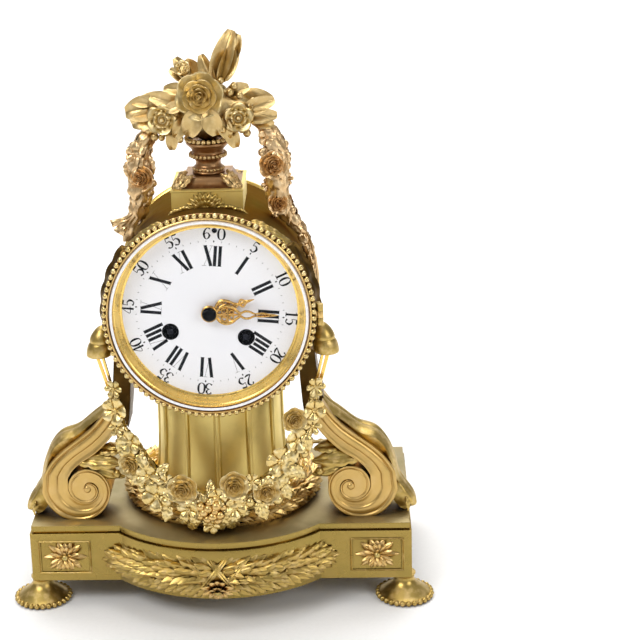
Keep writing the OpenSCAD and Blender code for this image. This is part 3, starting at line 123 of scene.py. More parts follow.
# Fire-gilt bronze: a thin gold skin that stays bright on what is rubbed and goes brown and green in the hollows,
# over castings with a fine sandy grain. Ambient occlusion darkens hollows, creases and gaps: dirt there, and painted
# shade
# The colours are those of the hollows (painted shade with dirt), the half-shaded low parts, the body, what is rubbed
# and the stain.
# Grain is the bump's strength, reach says how far the painted shade of a hollow reaches in mm, wear counts the scuffs
# in a metre, and edge is the colour seen at a grazing angle, where it isn't white
giltKeys = ("hollow", "low", "body", "rubbed", "stain", "stainShare", "rubShare", "rough", "grain", "reach", "wear",
            "edge")
giltFinishes = {
    # castings
    "agedGilt": ("#33210a", "#8a6c32", "#c0a35c", "#ecd093", "#8d8144", 0.30, 0.9, (0.28, 0.44), 0.10, 4.4, 260.0),
    "redGilt": ("#4a2d14", "#8c6a3e", "#c0a06c", "#ecd09c", "#97874a", 0.25, 0.9, (0.30, 0.46), 0.10, 2.2, 300.0),
    "swagGilt": ("#38240d", "#94783f", "#e0c582", "#fff0c0", "#8a854a", 0.25, 0.9, (0.22, 0.36), 0.10, 3.2, 300.0),
    "laurelGilt": ("#5a3a18", "#a27c46", "#dcb874", "#f8d89c", "#84713a", 0.30, 0.9, (0.24, 0.38), 0.10, 2.8, 280.0),
    "greenGilt": ("#33331a", "#7d7440", "#c0ab68", "#f2dc9c", "#6a8560", 0.45, 0.9, (0.28, 0.46), 0.10, 2.0, 280.0),
    # smooth walls, scraped and burnished before gilding
    "smoothGilt": ("#4f3c1a", "#8a6c2e", "#a28a4a", "#bfa160", "#8b7d3e", 0.35, 0.25, (0.22, 0.33), 0.03, 6.0, 90.0),
    "columnGilt": ("#6a4a1e", "#c2a658", "#f2db8a", "#f6e09c", "#c4b064", 0.30, 0.25, (0.42, 0.52), 0.03, 3.0, 90.0),
    "scrollGilt": ("#3d2710", "#9a773b", "#cfac68", "#e8ca92", "#9d8a4c", 0.25, 0.4, (0.28, 0.40), 0.04, 3.0, 120.0),
    "shadowGilt": ("#1d1206", "#4b371b", "#5c4521", "#937341", "#4c4222", 0.4, 0.4, (0.32, 0.5), 0.08, 8.0, 120.0),
    "drumGilt": ("#1d1307", "#54421f", "#7c6638", "#96804c", "#666236", 0.5, 0.4, (0.45, 0.58), 0.05, 8.0, 110.0,
                 "#a8894e"),
    "garlandGilt": ("#40260f", "#96704a", "#e2bf8e", "#fae2b8", "#a3945a", 0.25, 0.9, (0.26, 0.42), 0.10, 2.8, 300.0),
    "posyGilt": ("#3c270f", "#94763f", "#d4b67c", "#f2dcaa", "#a8985c", 0.25, 0.7, (0.28, 0.42), 0.10, 3.4, 300.0),
    "roseGilt": ("#4a3218", "#a38757", "#dac38c", "#f0dcae", "#a89c66", 0.30, 0.9, (0.28, 0.42), 0.10, 1.4, 300.0),
    # the slab's upper side: darker and greyer, with a long reach, as painted shade
    "slabGilt": ("#2e200d", "#6e5c3a", "#ab9b72", "#c4b27e", "#8d8862", 0.40, 0.3, (0.44, 0.60), 0.04, 16.0, 110.0),
    "urnGilt": ("#2e1a0b", "#6b4a2c", "#9c7650", "#d0ac7e", "#6f6038", 0.30, 0.6, (0.28, 0.42), 0.08, 2.5, 240.0),
    # turned and lacquered rings
    "brightGilt": ("#b07a2c", "#ecb44e", "#ffd97a", "#ffe8a0", "#e0ac4c", 0.05, 0.2, (0.24, 0.31), 0.02, 1.5, 160.0),
    "handGilt": ("#4a2c0c", "#9c6f2e", "#d3a658", "#f4d59a", "#a8803c", 0.15, 0.7, (0.22, 0.34), 0.03, 0.8, 400.0),
}


def giltMaterial(name):
    look = dict(zip(giltKeys, giltFinishes[name]))
    material, tree, shader = newMaterial(name, {"Metallic": 1.0})
    place = addNode(tree, "ShaderNodeTexCoord")
    patches = addNode(tree, "ShaderNodeTexNoise", {"Scale": 55.0, "Detail": 4.0, "Roughness": 0.6},
                      {"Vector": (place, "Object")})          # patches of about 15 mm
    wear = addNode(tree, "ShaderNodeTexNoise", {"Scale": look["wear"], "Detail": 3.0},
                   {"Vector": (place, "Object")})             # scuffs, 1000 / wear mm across
    sand = addNode(tree, "ShaderNodeTexNoise", {"Scale": 2400.0, "Detail": 2.0},
                   {"Vector": (place, "Object")})             # casting grain, drawn coarse at 0.4 mm
    # Ambient occlusion paints shade into hollows, creases and the gaps between parts; the ramp turns it into colour
    hollows = addNode(tree, "ShaderNodeAmbientOcclusion", {"Distance": look["reach"] / 1000}, samples=8)
    depth = addNode(tree, "ShaderNodeMath", {1: 0.16}, {0: (patches, "Fac")}, operation="MULTIPLY")
    lit = addNode(tree, "ShaderNodeMath", {}, {0: (hollows, "AO"), 1: (depth, "Value")}, operation="ADD")
    tone = addNode(tree, "ShaderNodeValToRGB", links={"Fac": (lit, "Value")})
    setRamp(tone, [(0.12, look["hollow"]), (0.36, look["low"]), (0.74, look["body"])])
    rub = addNode(tree, "ShaderNodeMapRange", {"From Min": 0.48, "From Max": 0.78, "To Max": look["rubShare"]},
                  {"Value": (wear, "Fac")})
    rubLit = addNode(tree, "ShaderNodeMath", {}, {0: (rub, "Result"), 1: (hollows, "AO")}, operation="MULTIPLY")
    rubbed = addNode(tree, "ShaderNodeMix", {"B": toLinear(look["rubbed"])},
                     {"Factor": (rubLit, "Value"), "A": (tone, "Color")}, data_type="RGBA")
    stainAt = addNode(tree, "ShaderNodeMapRange", {"From Min": 0.50, "From Max": 0.70, "To Max": look["stainShare"]},
                      {"Value": (patches, "Fac")})
    stained = addNode(tree, "ShaderNodeMix", {"B": toLinear(look["stain"])},
                      {"Factor": (stainAt, "Result"), "A": (rubbed, "Result")}, data_type="RGBA")
    rough = addNode(tree, "ShaderNodeMapRange",
                    {"From Min": 0.3, "From Max": 0.7, "To Min": look["rough"][0], "To Max": look["rough"][1]},
                    {"Value": (wear, "Fac")})
    bump = addNode(tree, "ShaderNodeBump", {"Strength": look["grain"], "Distance": 0.0006}, {"Height": (sand, "Fac")})
    joinShader(tree, shader, {"Base Color": (stained, "Result"), "Roughness": (rough, "Result"),
                              "Normal": (bump, "Normal")})
    if "edge" in look:
        shader.inputs["Specular Tint"].default_value = toLinear(look["edge"])
    return material


gilt = {name: giltMaterial(name) for name in giltFinishes}


def metalMaterial(name, colours, rough, brushed):
    material, tree, shader = newMaterial(name, {"Metallic": 1.0})
    place = mottle(tree, shader, colours, 120.0, 3.0)         # tarnish in patches of about 8 mm
    marks = addNode(tree, "ShaderNodeTexNoise", {"Scale": 1500.0, "Detail": 2.0}, {"Vector": (place, "Object")})
    shine = addNode(tree, "ShaderNodeMapRange", {"To Min": rough - 0.06, "To Max": rough + 0.08},
                    {"Value": (marks, "Fac")})
    bump = addNode(tree, "ShaderNodeBump", {"Strength": brushed, "Distance": 0.0003}, {"Height": (marks, "Fac")})
    joinShader(tree, shader, {"Roughness": (shine, "Result"), "Normal": (bump, "Normal")})
    return material


polishedBrass = metalMaterial("polishedBrass", ("#d8b465", "#a8843c"), 0.24, 0.05)   # rolled and turned
polishedSteel = metalMaterial("polishedSteel", ("#b9bcc0", "#85888c"), 0.22, 0.04)   # ground arbors and springs
bluedSteel = metalMaterial("bluedSteel", ("#2a2b31", "#15151a"), 0.30, 0.03)         # heat-blued nearly to black
blackSteel = metalMaterial("blackSteel", ("#17171a", "#0a0a0c"), 0.34, 0.03)         # oil-blacked nut; the black cups in the winding holes are painted shade
bellMetal = metalMaterial("bellMetal", ("#c7c2b4", "#9a927c"), 0.20, 0.03)           # cast and turned


def glassMaterial(name, alpha, colour):
    # Flat clear plate: seen mostly as a faint sheen over what lies behind it
    material, tree, shader = newMaterial(name, {"Base Color": toLinear(colour), "Roughness": 0.03})
    place = addNode(tree, "ShaderNodeTexCoord")
    dust = addNode(tree, "ShaderNodeTexNoise", {"Scale": 700.0, "Detail": 3.0}, {"Vector": (place, "Object")})
    sheen = addNode(tree, "ShaderNodeMapRange", {"To Min": alpha * 0.8, "To Max": alpha * 1.2},
                    {"Value": (dust, "Fac")})
    joinShader(tree, shader, {"Alpha": (sheen, "Result")})
    return material


# Vitreous enamel on copper is glassy and faintly blue, its fired black paint duller and thin at the edges
dialEnamel = plainMaterial("dialEnamel", ("#fdfdff", "#f6f7fe"), 30.0, {"Roughness": 0.18})
dialInk = plainMaterial("dialInk", ("#06080c", "#14171f"), 900.0, {"Roughness": 0.55, "Specular IOR Level": 0.25})
clearGlass = glassMaterial("clearGlass", 0.02, "#7a8088")
# The bevelled rim is near-opaque white: a painted highlight of its cut edge
bevelGlass = glassMaterial("bevelGlass", 0.92, "#ffffff")
print("materials made")


def finishMesh(mesh, smooth=38):
    mesh.shade_smooth()
    mesh.set_sharp_from_angle(angle=math.radians(smooth))


def addObject(name, data):
    made = bpy.data.objects.new(name, data)
    bpy.context.scene.collection.objects.link(made)
    return made


def weldedMesh(name, verts, faces, near, sliver, closed, smooth):
    # Merges points nearer than near and drops edges shorter than sliver; a closed shape faces outwards
    mesh = bpy.data.meshes.new(name)
    mesh.from_pydata(verts, [], faces)
    bm = bmesh.new()
    bm.from_mesh(mesh)
    bmesh.ops.remove_doubles(bm, verts=bm.verts, dist=near)
    if sliver:
        bmesh.ops.dissolve_degenerate(bm, edges=bm.edges, dist=sliver)
    if closed:
        bmesh.ops.recalc_face_normals(bm, faces=bm.faces)
    bm.to_mesh(mesh)
    bm.free()
    finishMesh(mesh, smooth)
    return mesh


def addFinish(piece, material, chosen):
    # A further finish on the faces that are chosen
    piece.data.materials.append(material)
    for face in piece.data.polygons:
        if chosen(face):
            face.material_index = len(piece.data.materials) - 1


def applyModifier(piece, modifier):
    # The evaluated shape becomes the piece's own plain mesh
    bpy.context.view_layer.update()
    made = bpy.data.meshes.new_from_object(piece.evaluated_get(bpy.context.evaluated_depsgraph_get()))
    made.name = piece.name
    piece.modifiers.remove(modifier)
    piece.data = made
    return made


def placePiece(piece, body, replaces=()):
    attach(piece, body)
    if replaces:
        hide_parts(*replaces)
    return piece


def makePiece(name, shapes, material, body="case", replaces=(), smooth=38, turn=None,
              closed=True):
    # shapes is a list of (points in mm, faces)
    verts, faces = [], []
    for points, quads in shapes:
        base = len(verts)
        verts += [toFrame(turn @ Vector(p) if turn else p) for p in points]
        faces += [tuple(i + base for i in q) for q in quads]
    mesh = weldedMesh(name, verts, faces, 1e-6, 1e-7, closed, smooth)
    mesh.materials.append(material)
    return placePiece(addObject(name, mesh), body, replaces)


def gridFaces(rows, cols, around=False, along=False):
    faces = []
    for i in range(rows if along else rows - 1):
        for j in range(cols if around else cols - 1):
            a, b = i * cols + j, i * cols + (j + 1) % cols
            c, d = ((i + 1) % rows) * cols + (j + 1) % cols, ((i + 1) % rows) * cols + j
            faces.append((a, b, c, d))
    return faces


def lathed(profile, steps, centre=(0, 0, 0), axis="z", closed=False):
    # profile is a list of (radius, height along the axis); points on the axis close the ends
    points = []
    for r, h in profile:
        for a in turns(steps):
            if axis == "z":
                points.append((centre[0] + r * math.cos(a), centre[1] + r * math.sin(a), centre[2] + h))
            else:
                points.append((centre[0] + r * math.cos(a), centre[1] + h, centre[2] + r * math.sin(a)))
    return points, gridFaces(len(profile), steps, around=True, along=closed)


def smoothLine(points, count, closed=False):
    # Catmull-Rom through the points, evenly stepped in its parameter
    n = len(points)
    out = []
    last = n if closed else n - 1
    for k in range(count):
        t = k / (count if closed else count - 1) * last
        i = min(int(t), last - 1)
        f = t - i
        get = (lambda j: points[j % n]) if closed else (lambda j: points[max(0, min(n - 1, j))])
        p0, p1, p2, p3 = get(i - 1), get(i), get(i + 1), get(i + 2)
        out.append(tuple(0.5 * (2 * b + (c - a) * f + (2 * a - 5 * b + 4 * c - d) * f * f
                                + (3 * b - a - 3 * c + d) * f ** 3) for a, b, c, d in zip(p0, p1, p2, p3)))
    return out


def closedLeaf(top, under, rows, cols):
    # Joins the two sides of a leaf along its foot; elsewhere their edges meet and are merged
    faces = gridFaces(rows + 1, cols + 1)
    count = len(top)
    faces += [tuple(q + count for q in reversed(f)) for f in faces]
    faces += [(j, j + count, j + 1 + count, j + 1) for j in range(cols)]
    return top + under, faces


def blade(rows, cols, outline, cup=0.0, crease=0.0, curl=0.0, thick=0.08, veins=0.0, veinCount=6):
    # Petal or leaf of length 1 along +y, facing +z, closed like a thin lens
    top, under = [], []
    for i in range(rows + 1):
        u = i / rows
        half = outline(u)
        for j in range(cols + 1):
            v = 2 * j / cols - 1
            z = cup * half * v * v + crease * half * abs(v) + curl * u * u
            z += veins * math.cos((u - abs(v) * 0.35) * veinCount * 2 * math.pi) * (1 - abs(v)) * abs(v) * 2
            body = thick * (1 - v ** 4) * min(1, 6 * u + 0.15) * min(1, (1 - u) * 6)
            edge = 0 if j in (0, cols) or i == rows else body
            top.append((half * v, u, z + edge / 2))
            under.append((half * v, u, z - edge / 2))
    return closedLeaf(top, under, rows, cols)


def unitObject(name, shape):
    unit = addObject(name, weldedMesh(name, shape[0], shape[1], 1e-5, 0, True, 60))
    unit.hide_render = True
    return unit


def spread(name, unit, spots, material, body="case", replaces=(), vary=0.0, seed=1):
    # Geometry Nodes sets one copy of unit on each spot, a matrix in mm that holds place, turn and size
    mesh = bpy.data.meshes.new(name)
    mesh.from_pydata([toFrame(m.to_translation()) for m in spots], [], [])
    facings = mesh.attributes.new("turn", "FLOAT_VECTOR", "POINT")
    sizes = mesh.attributes.new("grow", "FLOAT_VECTOR", "POINT")
    for i, m in enumerate(spots):
        facings.data[i].vector = m.to_euler()
        sizes.data[i].vector = m.to_scale() * 0.001
    piece = addObject(name, mesh)
    tree = bpy.data.node_groups.new(name + "Tree", "GeometryNodeTree")
    for label, kind, way in (("Geometry", "NodeSocketGeometry", "INPUT"), ("Unit", "NodeSocketObject", "INPUT"),
                             ("Variation", "NodeSocketFloat", "INPUT"), ("Seed", "NodeSocketInt", "INPUT"),
                             ("Finish", "NodeSocketMaterial", "INPUT"), ("Geometry", "NodeSocketGeometry", "OUTPUT")):
        tree.interface.new_socket(label, in_out=way, socket_type=kind)
    given = addNode(tree, "NodeGroupInput")
    source = addNode(tree, "GeometryNodeObjectInfo", links={"Object": (given, "Unit")})
    turn = addNode(tree, "GeometryNodeInputNamedAttribute", {"Name": "turn"}, data_type="FLOAT_VECTOR")
    grow = addNode(tree, "GeometryNodeInputNamedAttribute", {"Name": "grow"}, data_type="FLOAT_VECTOR")
    rotation = addNode(tree, "FunctionNodeEulerToRotation", links={"Euler": (turn, "Attribute")})
    low = addNode(tree, "ShaderNodeMath", {0: 1.0}, {1: (given, "Variation")}, operation="SUBTRACT")
    high = addNode(tree, "ShaderNodeMath", {0: 1.0}, {1: (given, "Variation")}, operation="ADD")
    chance = addNode(tree, "FunctionNodeRandomValue", links={"Seed": (given, "Seed")}, data_type="FLOAT")
    tree.links.new(low.outputs["Value"], chance.inputs[2])
    tree.links.new(high.outputs["Value"], chance.inputs[3])
    scale = addNode(tree, "ShaderNodeVectorMath", links={0: (grow, "Attribute")}, operation="SCALE")
    tree.links.new(chance.outputs[1], scale.inputs["Scale"])
    copies = addNode(tree, "GeometryNodeInstanceOnPoints",
                     links={"Points": (given, "Geometry"), "Instance": (source, "Geometry"),
                            "Rotation": (rotation, "Rotation"), "Scale": (scale, "Vector")})
    solid = addNode(tree, "GeometryNodeRealizeInstances", links={"Geometry": (copies, "Instances")})
    dressed = addNode(tree, "GeometryNodeSetMaterial",
                      links={"Geometry": (solid, "Geometry"), "Material": (given, "Finish")})
    addNode(tree, "NodeGroupOutput", links={"Geometry": (dressed, "Geometry")})
    modifier = piece.modifiers.new("Spread", "NODES")
    modifier.node_group = tree
    values = {"Unit": unit, "Variation": vary, "Seed": seed, "Finish": material}
    for item in tree.interface.items_tree:
        if item.in_out == "INPUT" and item.name in values:
            modifier[item.identifier] = values[item.name]
    made = applyModifier(piece, modifier)
    for extra in ("turn", "grow"):
        if extra in made.attributes:
            made.attributes.remove(made.attributes[extra])
    if not made.materials:
        made.materials.append(material)
    made.materials[0] = material
    finishMesh(made, 60)
    return placePiece(piece, body, replaces)


def softened(node, name, width, material, body="case", smooth=32):
    # The CAD solid with its doubles merged and its sharp edges rounded off by width in mm
    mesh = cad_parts[node].data.copy()
    mesh.name = name
    bm = bmesh.new()
    bm.from_mesh(mesh)
    bmesh.ops.remove_doubles(bm, verts=bm.verts, dist=2e-6)
    bmesh.ops.dissolve_limit(bm, angle_limit=math.radians(1.2), verts=bm.verts, edges=bm.edges)
    bm.to_mesh(mesh)
    bm.free()
    mesh.materials.clear()
    mesh.materials.append(material)
    piece = addObject(name, mesh)
    rounding = piece.modifiers.new("Rounding", "BEVEL")
    rounding.width = width / 1000
    rounding.segments = 2
    rounding.limit_method = "ANGLE"
    rounding.angle_limit = math.radians(smooth)
    rounding.use_clamp_overlap = True
    finishMesh(applyModifier(piece, rounding), smooth)
    return placePiece(piece, body, (node,))


def spot(place, facing, along, size):
    # Matrix whose z looks along facing and whose y runs as near along as it can
    z = Vector(facing).normalized()
    y = Vector(along)
    y = (y - z * y.dot(z))
    y = y.normalized() if y.length > 1e-6 else z.orthogonal().normalized()
    x = y.cross(z)
    scale = size if isinstance(size, (tuple, list)) else (size, size, size)
    return Matrix.Translation(Vector(place)) @ Matrix((x, y, z)).transposed().to_4x4() @ Matrix.Diagonal((*scale, 1))


def smoothProfile(points):
    # Rounds a turned profile a little but keeps its ends
    out = [points[0]]
    for a, b in zip(points, points[1:]):
        out.append((a[0] * 0.7 + b[0] * 0.3, a[1] * 0.7 + b[1] * 0.3))
        out.append((a[0] * 0.3 + b[0] * 0.7, a[1] * 0.3 + b[1] * 0.7))
    return out + [points[-1]]


def ballShape(rows, cols):
    points = []
    for i in range(rows + 1):
        a = math.pi * i / rows
        points += [(math.sin(a) * math.cos(b), math.sin(a) * math.sin(b), math.cos(a)) for b in turns(cols)]
    return points, gridFaces(rows + 1, cols, around=True)


def lobe(angle, count, turn, depth, power=0.6):
    # 1 in the middle of each of count petals, 1 - depth between them
    return 1 - depth * (1 - abs(math.cos(count * (angle - turn) / 2)) ** power)


def closedDisc(rows, steps, sink=0.3):
    # rows of points from the middle outwards, closed underneath
    points = [p for row in rows for p in row]
    points += [(x * 0.72, y * 0.72, z - sink * 0.6) for x, y, z in rows[-1]]
    points += [(0, 0, -sink)] * steps
    return points, gridFaces(len(rows) + 2, steps, around=True)


def roseShape(steps=54):
    # Rings of cupped petals whose lips stand over the ring outside them, as (radius, petals, turn, level)
    rings = [(0.10, 2, 0.3, 0.60), (0.21, 3, 1.0, 0.56), (0.34, 4, 0.2, 0.50), (0.50, 5, 0.8, 0.40),
             (0.70, 5, 0.1, 0.26), (1.0, 6, 0.6, 0.06)]
    rows = [[(0, 0, 0.58)] * steps]
    inner = [0.0] * steps
    for outerR, count, turn, level in rings:
        edge = [outerR * lobe(a, count, turn, 0.13) for a in turns(steps)]
        for f in (0.02, 0.4, 0.75, 0.93, 1.0):
            row = []
            for k, a in enumerate(turns(steps)):
                petal = abs(math.cos(count * (a - turn) / 2)) ** 0.5
                r = inner[k] + (edge[k] - inner[k]) * f
                lift = 0.15 * (f ** 1.6 if f < 0.95 else 0.8) * (0.35 + 0.65 * petal)
                fold = 0.05 * math.sin(count * (a - turn)) * f
                row.append((r * math.cos(a), r * math.sin(a), level - 0.04 + lift + fold))
            rows.append(row)
        inner = edge
    return closedDisc(rows, steps)


def blossomShape(count=5, steps=50, cup=0.34, notch=0.22):
    # Open flower with a button heart in a dimple
    rows = [[(0, 0, 0.26)] * steps]
    for f in (0.08, 0.15, 0.2, 0.24, 0.3, 0.42, 0.56, 0.7, 0.82, 0.92, 0.98, 1.0):
        row = []
        for a in turns(steps):
            petal = abs(math.cos(count * a / 2))
            r = f * (1 if f < 0.25 else 1 - notch * (1 - petal ** 0.55) * min(1, (f - 0.2) * 1.6))
            if f < 0.22:
                z = 0.26 - 1.6 * f * f + 0.03 * math.cos(8 * a) * min(1, f * 8)
            else:
                z = 0.06 + cup * max(0.0, f - 0.25) ** 1.2 - 0.16 * (1 - petal ** 0.45) * min(1, f * 2)
                z += (0.05 * math.cos(count * a) * f - 0.10 * max(0.0, f - 0.82) / 0.18
                      + 0.02 * math.cos(3 * count * a) * f)
            row.append((r * math.cos(a), r * math.sin(a), z))
        rows.append(row)
    return closedDisc(rows, steps, 0.22)


def ringFlower(count=5, steps=45):
    # Flower seen wide open: a button in a hollow, a raised ring of small petals and a low lobed ring around it
    rows = []
    for f, z in ((0, 0.32), (0.08, 0.30), (0.14, 0.18), (0.19, 0.04), (0.26, 0.04), (0.32, 0.24), (0.40, 0.33),
                 (0.48, 0.29), (0.54, 0.13), (0.62, 0.12), (0.74, 0.24), (0.86, 0.30), (0.96, 0.23), (1.0, 0.10)):
        row = []
        for a in turns(steps):
            gap = 1 - abs(math.cos(count * a / 2)) ** 0.45
            split = 1 - abs(math.sin(count * a / 2)) ** 0.45
            r = f * (1 - 0.26 * gap * max(0.0, f - 0.5) * 2)
            sink = 0.16 * gap if f > 0.56 else 0.14 * split if f > 0.28 else 0.0
            row.append((r * math.cos(a), r * math.sin(a), z - sink))
        rows.append(row)
    return closedDisc(rows, steps, 0.22)


def lobedLeaf(rows=14, cols=10, lobes=3.5, width=0.32, thick=0.10, curl=-0.10, crease=0.22):
    # Leaf with a sunk midrib, puffed between its side veins and notched along its edges
    top, under = [], []
    for i in range(rows + 1):
        u = i / rows
        notch = 0.22 * (1 - abs(math.sin(math.pi * lobes * u)) ** 0.7) * min(1, 4 * u) * min(1, (1 - u) * 6)
        half = width * max(0.02, math.sin(math.pi * min(1, 0.05 + u ** 0.85 * 0.94))) ** 0.65 * (1 - notch)
        for j in range(cols + 1):
            v = 2 * j / cols - 1
            z = crease * half * abs(v) ** 0.8 + curl * u * u * (1 + 0.6 * v * v)
            z += 0.035 * math.sin(math.pi * (lobes * 2 * (u - 0.22 * abs(v)))) * abs(v) * (1 - v * v) * 2
            z += 0.05 * (1 - abs(v)) * abs(v) * 4 * 0.5 - 0.02 * v * v * v * v
            body = 0
            if j not in (0, cols) and i < rows:
                body = thick * (1 - v ** 4) * min(1, 5 * u + 0.3) * min(1, (1 - u) * 5)
            top.append((half * v, u, z + body / 2))
            under.append((half * v, u, z - body / 2))
    return closedLeaf(top, under, rows, cols)


def smoothSizes(sizes, count):
    return [s[0] for s in smoothLine([(s,) for s in sizes], count)]


def beadRow(centre, radius, count, size, start=0.0):
    # Beads in a level ring, each facing away from its axis
    beads = []
    for a in turns(count, start):
        out = Vector((math.cos(a), math.sin(a), 0))
        beads.append(spot(Vector(centre) + out * radius, out, (0, 0, 1), size))
    return beads


# Camera, at the photograph's place; its centre lies left of the picture's middle
view = {"side": 4.17, "down": 17.79, "roll": 2.42, "away": 1063.0, "aim": (0, 0, 178), "focal": 1817.0,
        "middle": (215.5, 286.4), "frame": 640.0, "sensor": 36.0}     # focal and middle in points of the frame


def setCamera():
    a, e, r = (math.radians(view[k]) for k in ("side", "down", "roll"))
    back = Vector((math.sin(a) * math.cos(e), -math.cos(a) * math.cos(e), math.sin(e)))
    level = Vector((math.cos(a), math.sin(a), 0))
    rise = back.cross(level)
    right = level * math.cos(r) - rise * math.sin(r)
    up = level * math.sin(r) + rise * math.cos(r)
    data = bpy.data.cameras.new("viewCamera")
    data.sensor_width = view["sensor"]
    data.lens = view["focal"] / view["frame"] * view["sensor"]
    data.shift_x = 0.5 - view["middle"][0] / view["frame"]
    data.shift_y = view["middle"][1] / view["frame"] - 0.5
    data.clip_start, data.clip_end = 0.05, 50
    camera = addObject("viewCamera", data)
    place = toFrame(Vector(view["aim"]) + back * view["away"])
    camera.matrix_world = Matrix.Translation(place) @ Matrix((right, up, back)).transposed().to_4x4()
    bpy.context.scene.camera = camera


setCamera()

studio = {
    "room": ("#8a857c", "#a8a8a8"),     # low and high in the world
    "paper": ("#f4f4f4", "#fbfbfb"),
    "halfWidth": 4.6,                   # the paper's, in metres
    "sweep": [(-4.5, 0.0), (2.1, 0.0), (2.4, 0.03), (2.62, 0.12), (2.76, 0.28), (2.8, 0.5), (2.8, 3.4)],
    # place, aim, size in metres, watts
    "lamps": {
        "keyLamp": ((-0.9, -1.1, 1.5), (0, 0, 0.15), 0.9, 15.0),
        "fillLamp": ((1.2, -1.0, 0.8), (0, 0, 0.15), 0.8, 6.0),
        "topLamp": ((0.0, 0.2, 1.6), (0, 0, 0.1), 1.1, 9.0),
        "paperLamp": ((0.0, 1.3, 1.9), (0, 2.1, 0.1), 2.2, 42.0),
    },
}


def setStudio():
    scene = bpy.context.scene
    scene.view_settings.view_transform = "Standard"
    world = bpy.data.worlds.new("studioWorld")
    scene.world = world
    world.use_nodes = True
    tree = world.node_tree
    tree.nodes.clear()
    place = addNode(tree, "ShaderNodeTexCoord")
    parts = addNode(tree, "ShaderNodeSeparateXYZ", links={"Vector": (place, "Generated")})
    height = addNode(tree, "ShaderNodeMapRange", {"From Min": -0.2, "From Max": 0.9}, {"Value": (parts, "Z")})
    low, high = (toLinear(colour) for colour in studio["room"])
    tone = addNode(tree, "ShaderNodeMix", {"A": low, "B": high}, {"Factor": (height, "Result")}, data_type="RGBA")
    room = addNode(tree, "ShaderNodeBackground", {"Strength": 1.0}, {"Color": (tone, "Result")})
    addNode(tree, "ShaderNodeOutputWorld", links={"Surface": (room, "Background")})

    rows = studio["sweep"]
    verts = [(x, y, z) for y, z in rows for x in (-studio["halfWidth"], studio["halfWidth"])]
    mesh = bpy.data.meshes.new("paperSweep")
    mesh.from_pydata(verts, [], [(2 * i, 2 * i + 1, 2 * i + 3, 2 * i + 2) for i in range(len(rows) - 1)])
    mesh.shade_smooth()
    mesh.materials.append(plainMaterial("paperFloor", studio["paper"], 400.0, {"Roughness": 0.9}))
    addObject("paperSweep", mesh)

    for name, (place, aim, size, power) in studio["lamps"].items():
        data = bpy.data.lights.new(name, "AREA")
        data.shape = "RECTANGLE"
        data.size, data.size_y = size, size * 0.8
        data.energy = power
        lamp = addObject(name, data)
        lamp.location = place
        lamp.rotation_euler = (Vector(aim) - Vector(place)).to_track_quat("-Z", "Y").to_euler()


setStudio()
print("camera and studio set")

# Base: walls and slab keep the CAD shape with softened arrises
softened("base_frame", "baseWalls", 0.35, gilt["smoothGilt"])
slab = softened("base_slab", "baseSlab", 0.45, gilt["smoothGilt"])
slabTop = max(v.co.z for v in slab.data.vertices) - 0.0004
# the upper side is painted darker and greyer as shade, with painted shade reaching far out from the consoles and ring
addFinish(slab, gilt["slabGilt"], lambda face: face.center.z > slabTop and face.normal.z > 0.9)
softened("tie_rods", "tieRods", 0.1, polishedSteel)

foot = {
    "side": 106.9, "tuck": 97.2, "front": -44.8, "rear": 48.0, "beads": 28, "beadRing": 15.55, "beadR": 1.62,
    "beadZ": 1.9,
    "profile": [
        (0, 0.05), (13.6, 0.05), (15.2, 0.4), (15.9, 1.4), (15.8, 2.6), (14.6, 3.3), (13.2, 4.2), (11.6, 5.5),
        (9.6, 7.0), (7.6, 8.6), (6.3, 10.2), (5.7, 11.6), (5.6, 13.2), (6.0, 13.9), (6.5, 14.3), (6.5, 15.4),
        (0, 15.4),
    ],
}


def makeFeet():
    shapes, beads = [], []
    bead = foot["beadR"]
    for side in (-1, 1):
        for x, y in ((side * foot["side"], foot["front"]), (side * foot["tuck"], foot["rear"])):
            shapes.append(lathed(smoothProfile(foot["profile"]), 56, (x, y, 0)))
            beads += beadRow((x, y, foot["beadZ"]), foot["beadRing"], foot["beads"], (bead, bead * 1.1, bead), 0.5)
    makePiece("footTurned", shapes, gilt["agedGilt"], replaces=("feet",), smooth=30)
    spread("footBeads", beadUnit, beads, gilt["agedGilt"], vary=0.04, seed=3)


beadUnit = unitObject("beadUnit", ballShape(7, 12))
roseUnit = unitObject("roseUnit", roseShape())
blossomUnit = unitObject("blossomUnit", blossomShape())
ringFlowerUnit = unitObject("ringFlowerUnit", ringFlower())
smallBlossomUnit = unitObject("smallBlossomUnit", blossomShape(6, 36, 0.22, 0.4))
bigLeafUnit = unitObject("bigLeafUnit", lobedLeaf())
sprigUnit = unitObject("sprigUnit", lobedLeaf(7, 6, 2.5, 0.34, 0.12, -0.16, 0.25))
berryUnit = unitObject("berryUnit", ballShape(5, 8))
broadLeafUnit = unitObject("broadLeafUnit", blade(
    14, 12, lambda u: 0.40 * math.sin(math.pi * min(1, 0.07 + u ** 0.85 * 0.86)) ** 0.6,
    cup=0.40, crease=0.30, curl=-0.18, thick=0.14, veins=0.030, veinCount=5))
laurelUnit = unitObject("laurelUnit", blade(
    5, 4, lambda u: 0.25 * math.sin(math.pi * min(1, u * 0.94 + 0.06)) ** 0.8, crease=-0.55, curl=0.10, thick=0.12))
rosettePetalUnit = unitObject("rosettePetalUnit", blade(
    7, 6, lambda u: 0.17 * math.sin(math.pi * min(1, 0.05 + u * 0.93)) ** 0.7, crease=-0.5, curl=-0.12, thick=0.10))
makeFeet()
print("base and feet made")

# Laurel bolster on the bow
bolster = {
    "half": 70.0, "sag": 29.6, "front": -53.4, "z": 29.0, "height": 24.0, "reach": 12.0, "rows": 9, "steps": 96,
    "leaf": 10.5, "pitch": 4.6,
}
bolsterR = (bolster["half"] ** 2 + bolster["sag"] ** 2) / (2 * bolster["sag"])


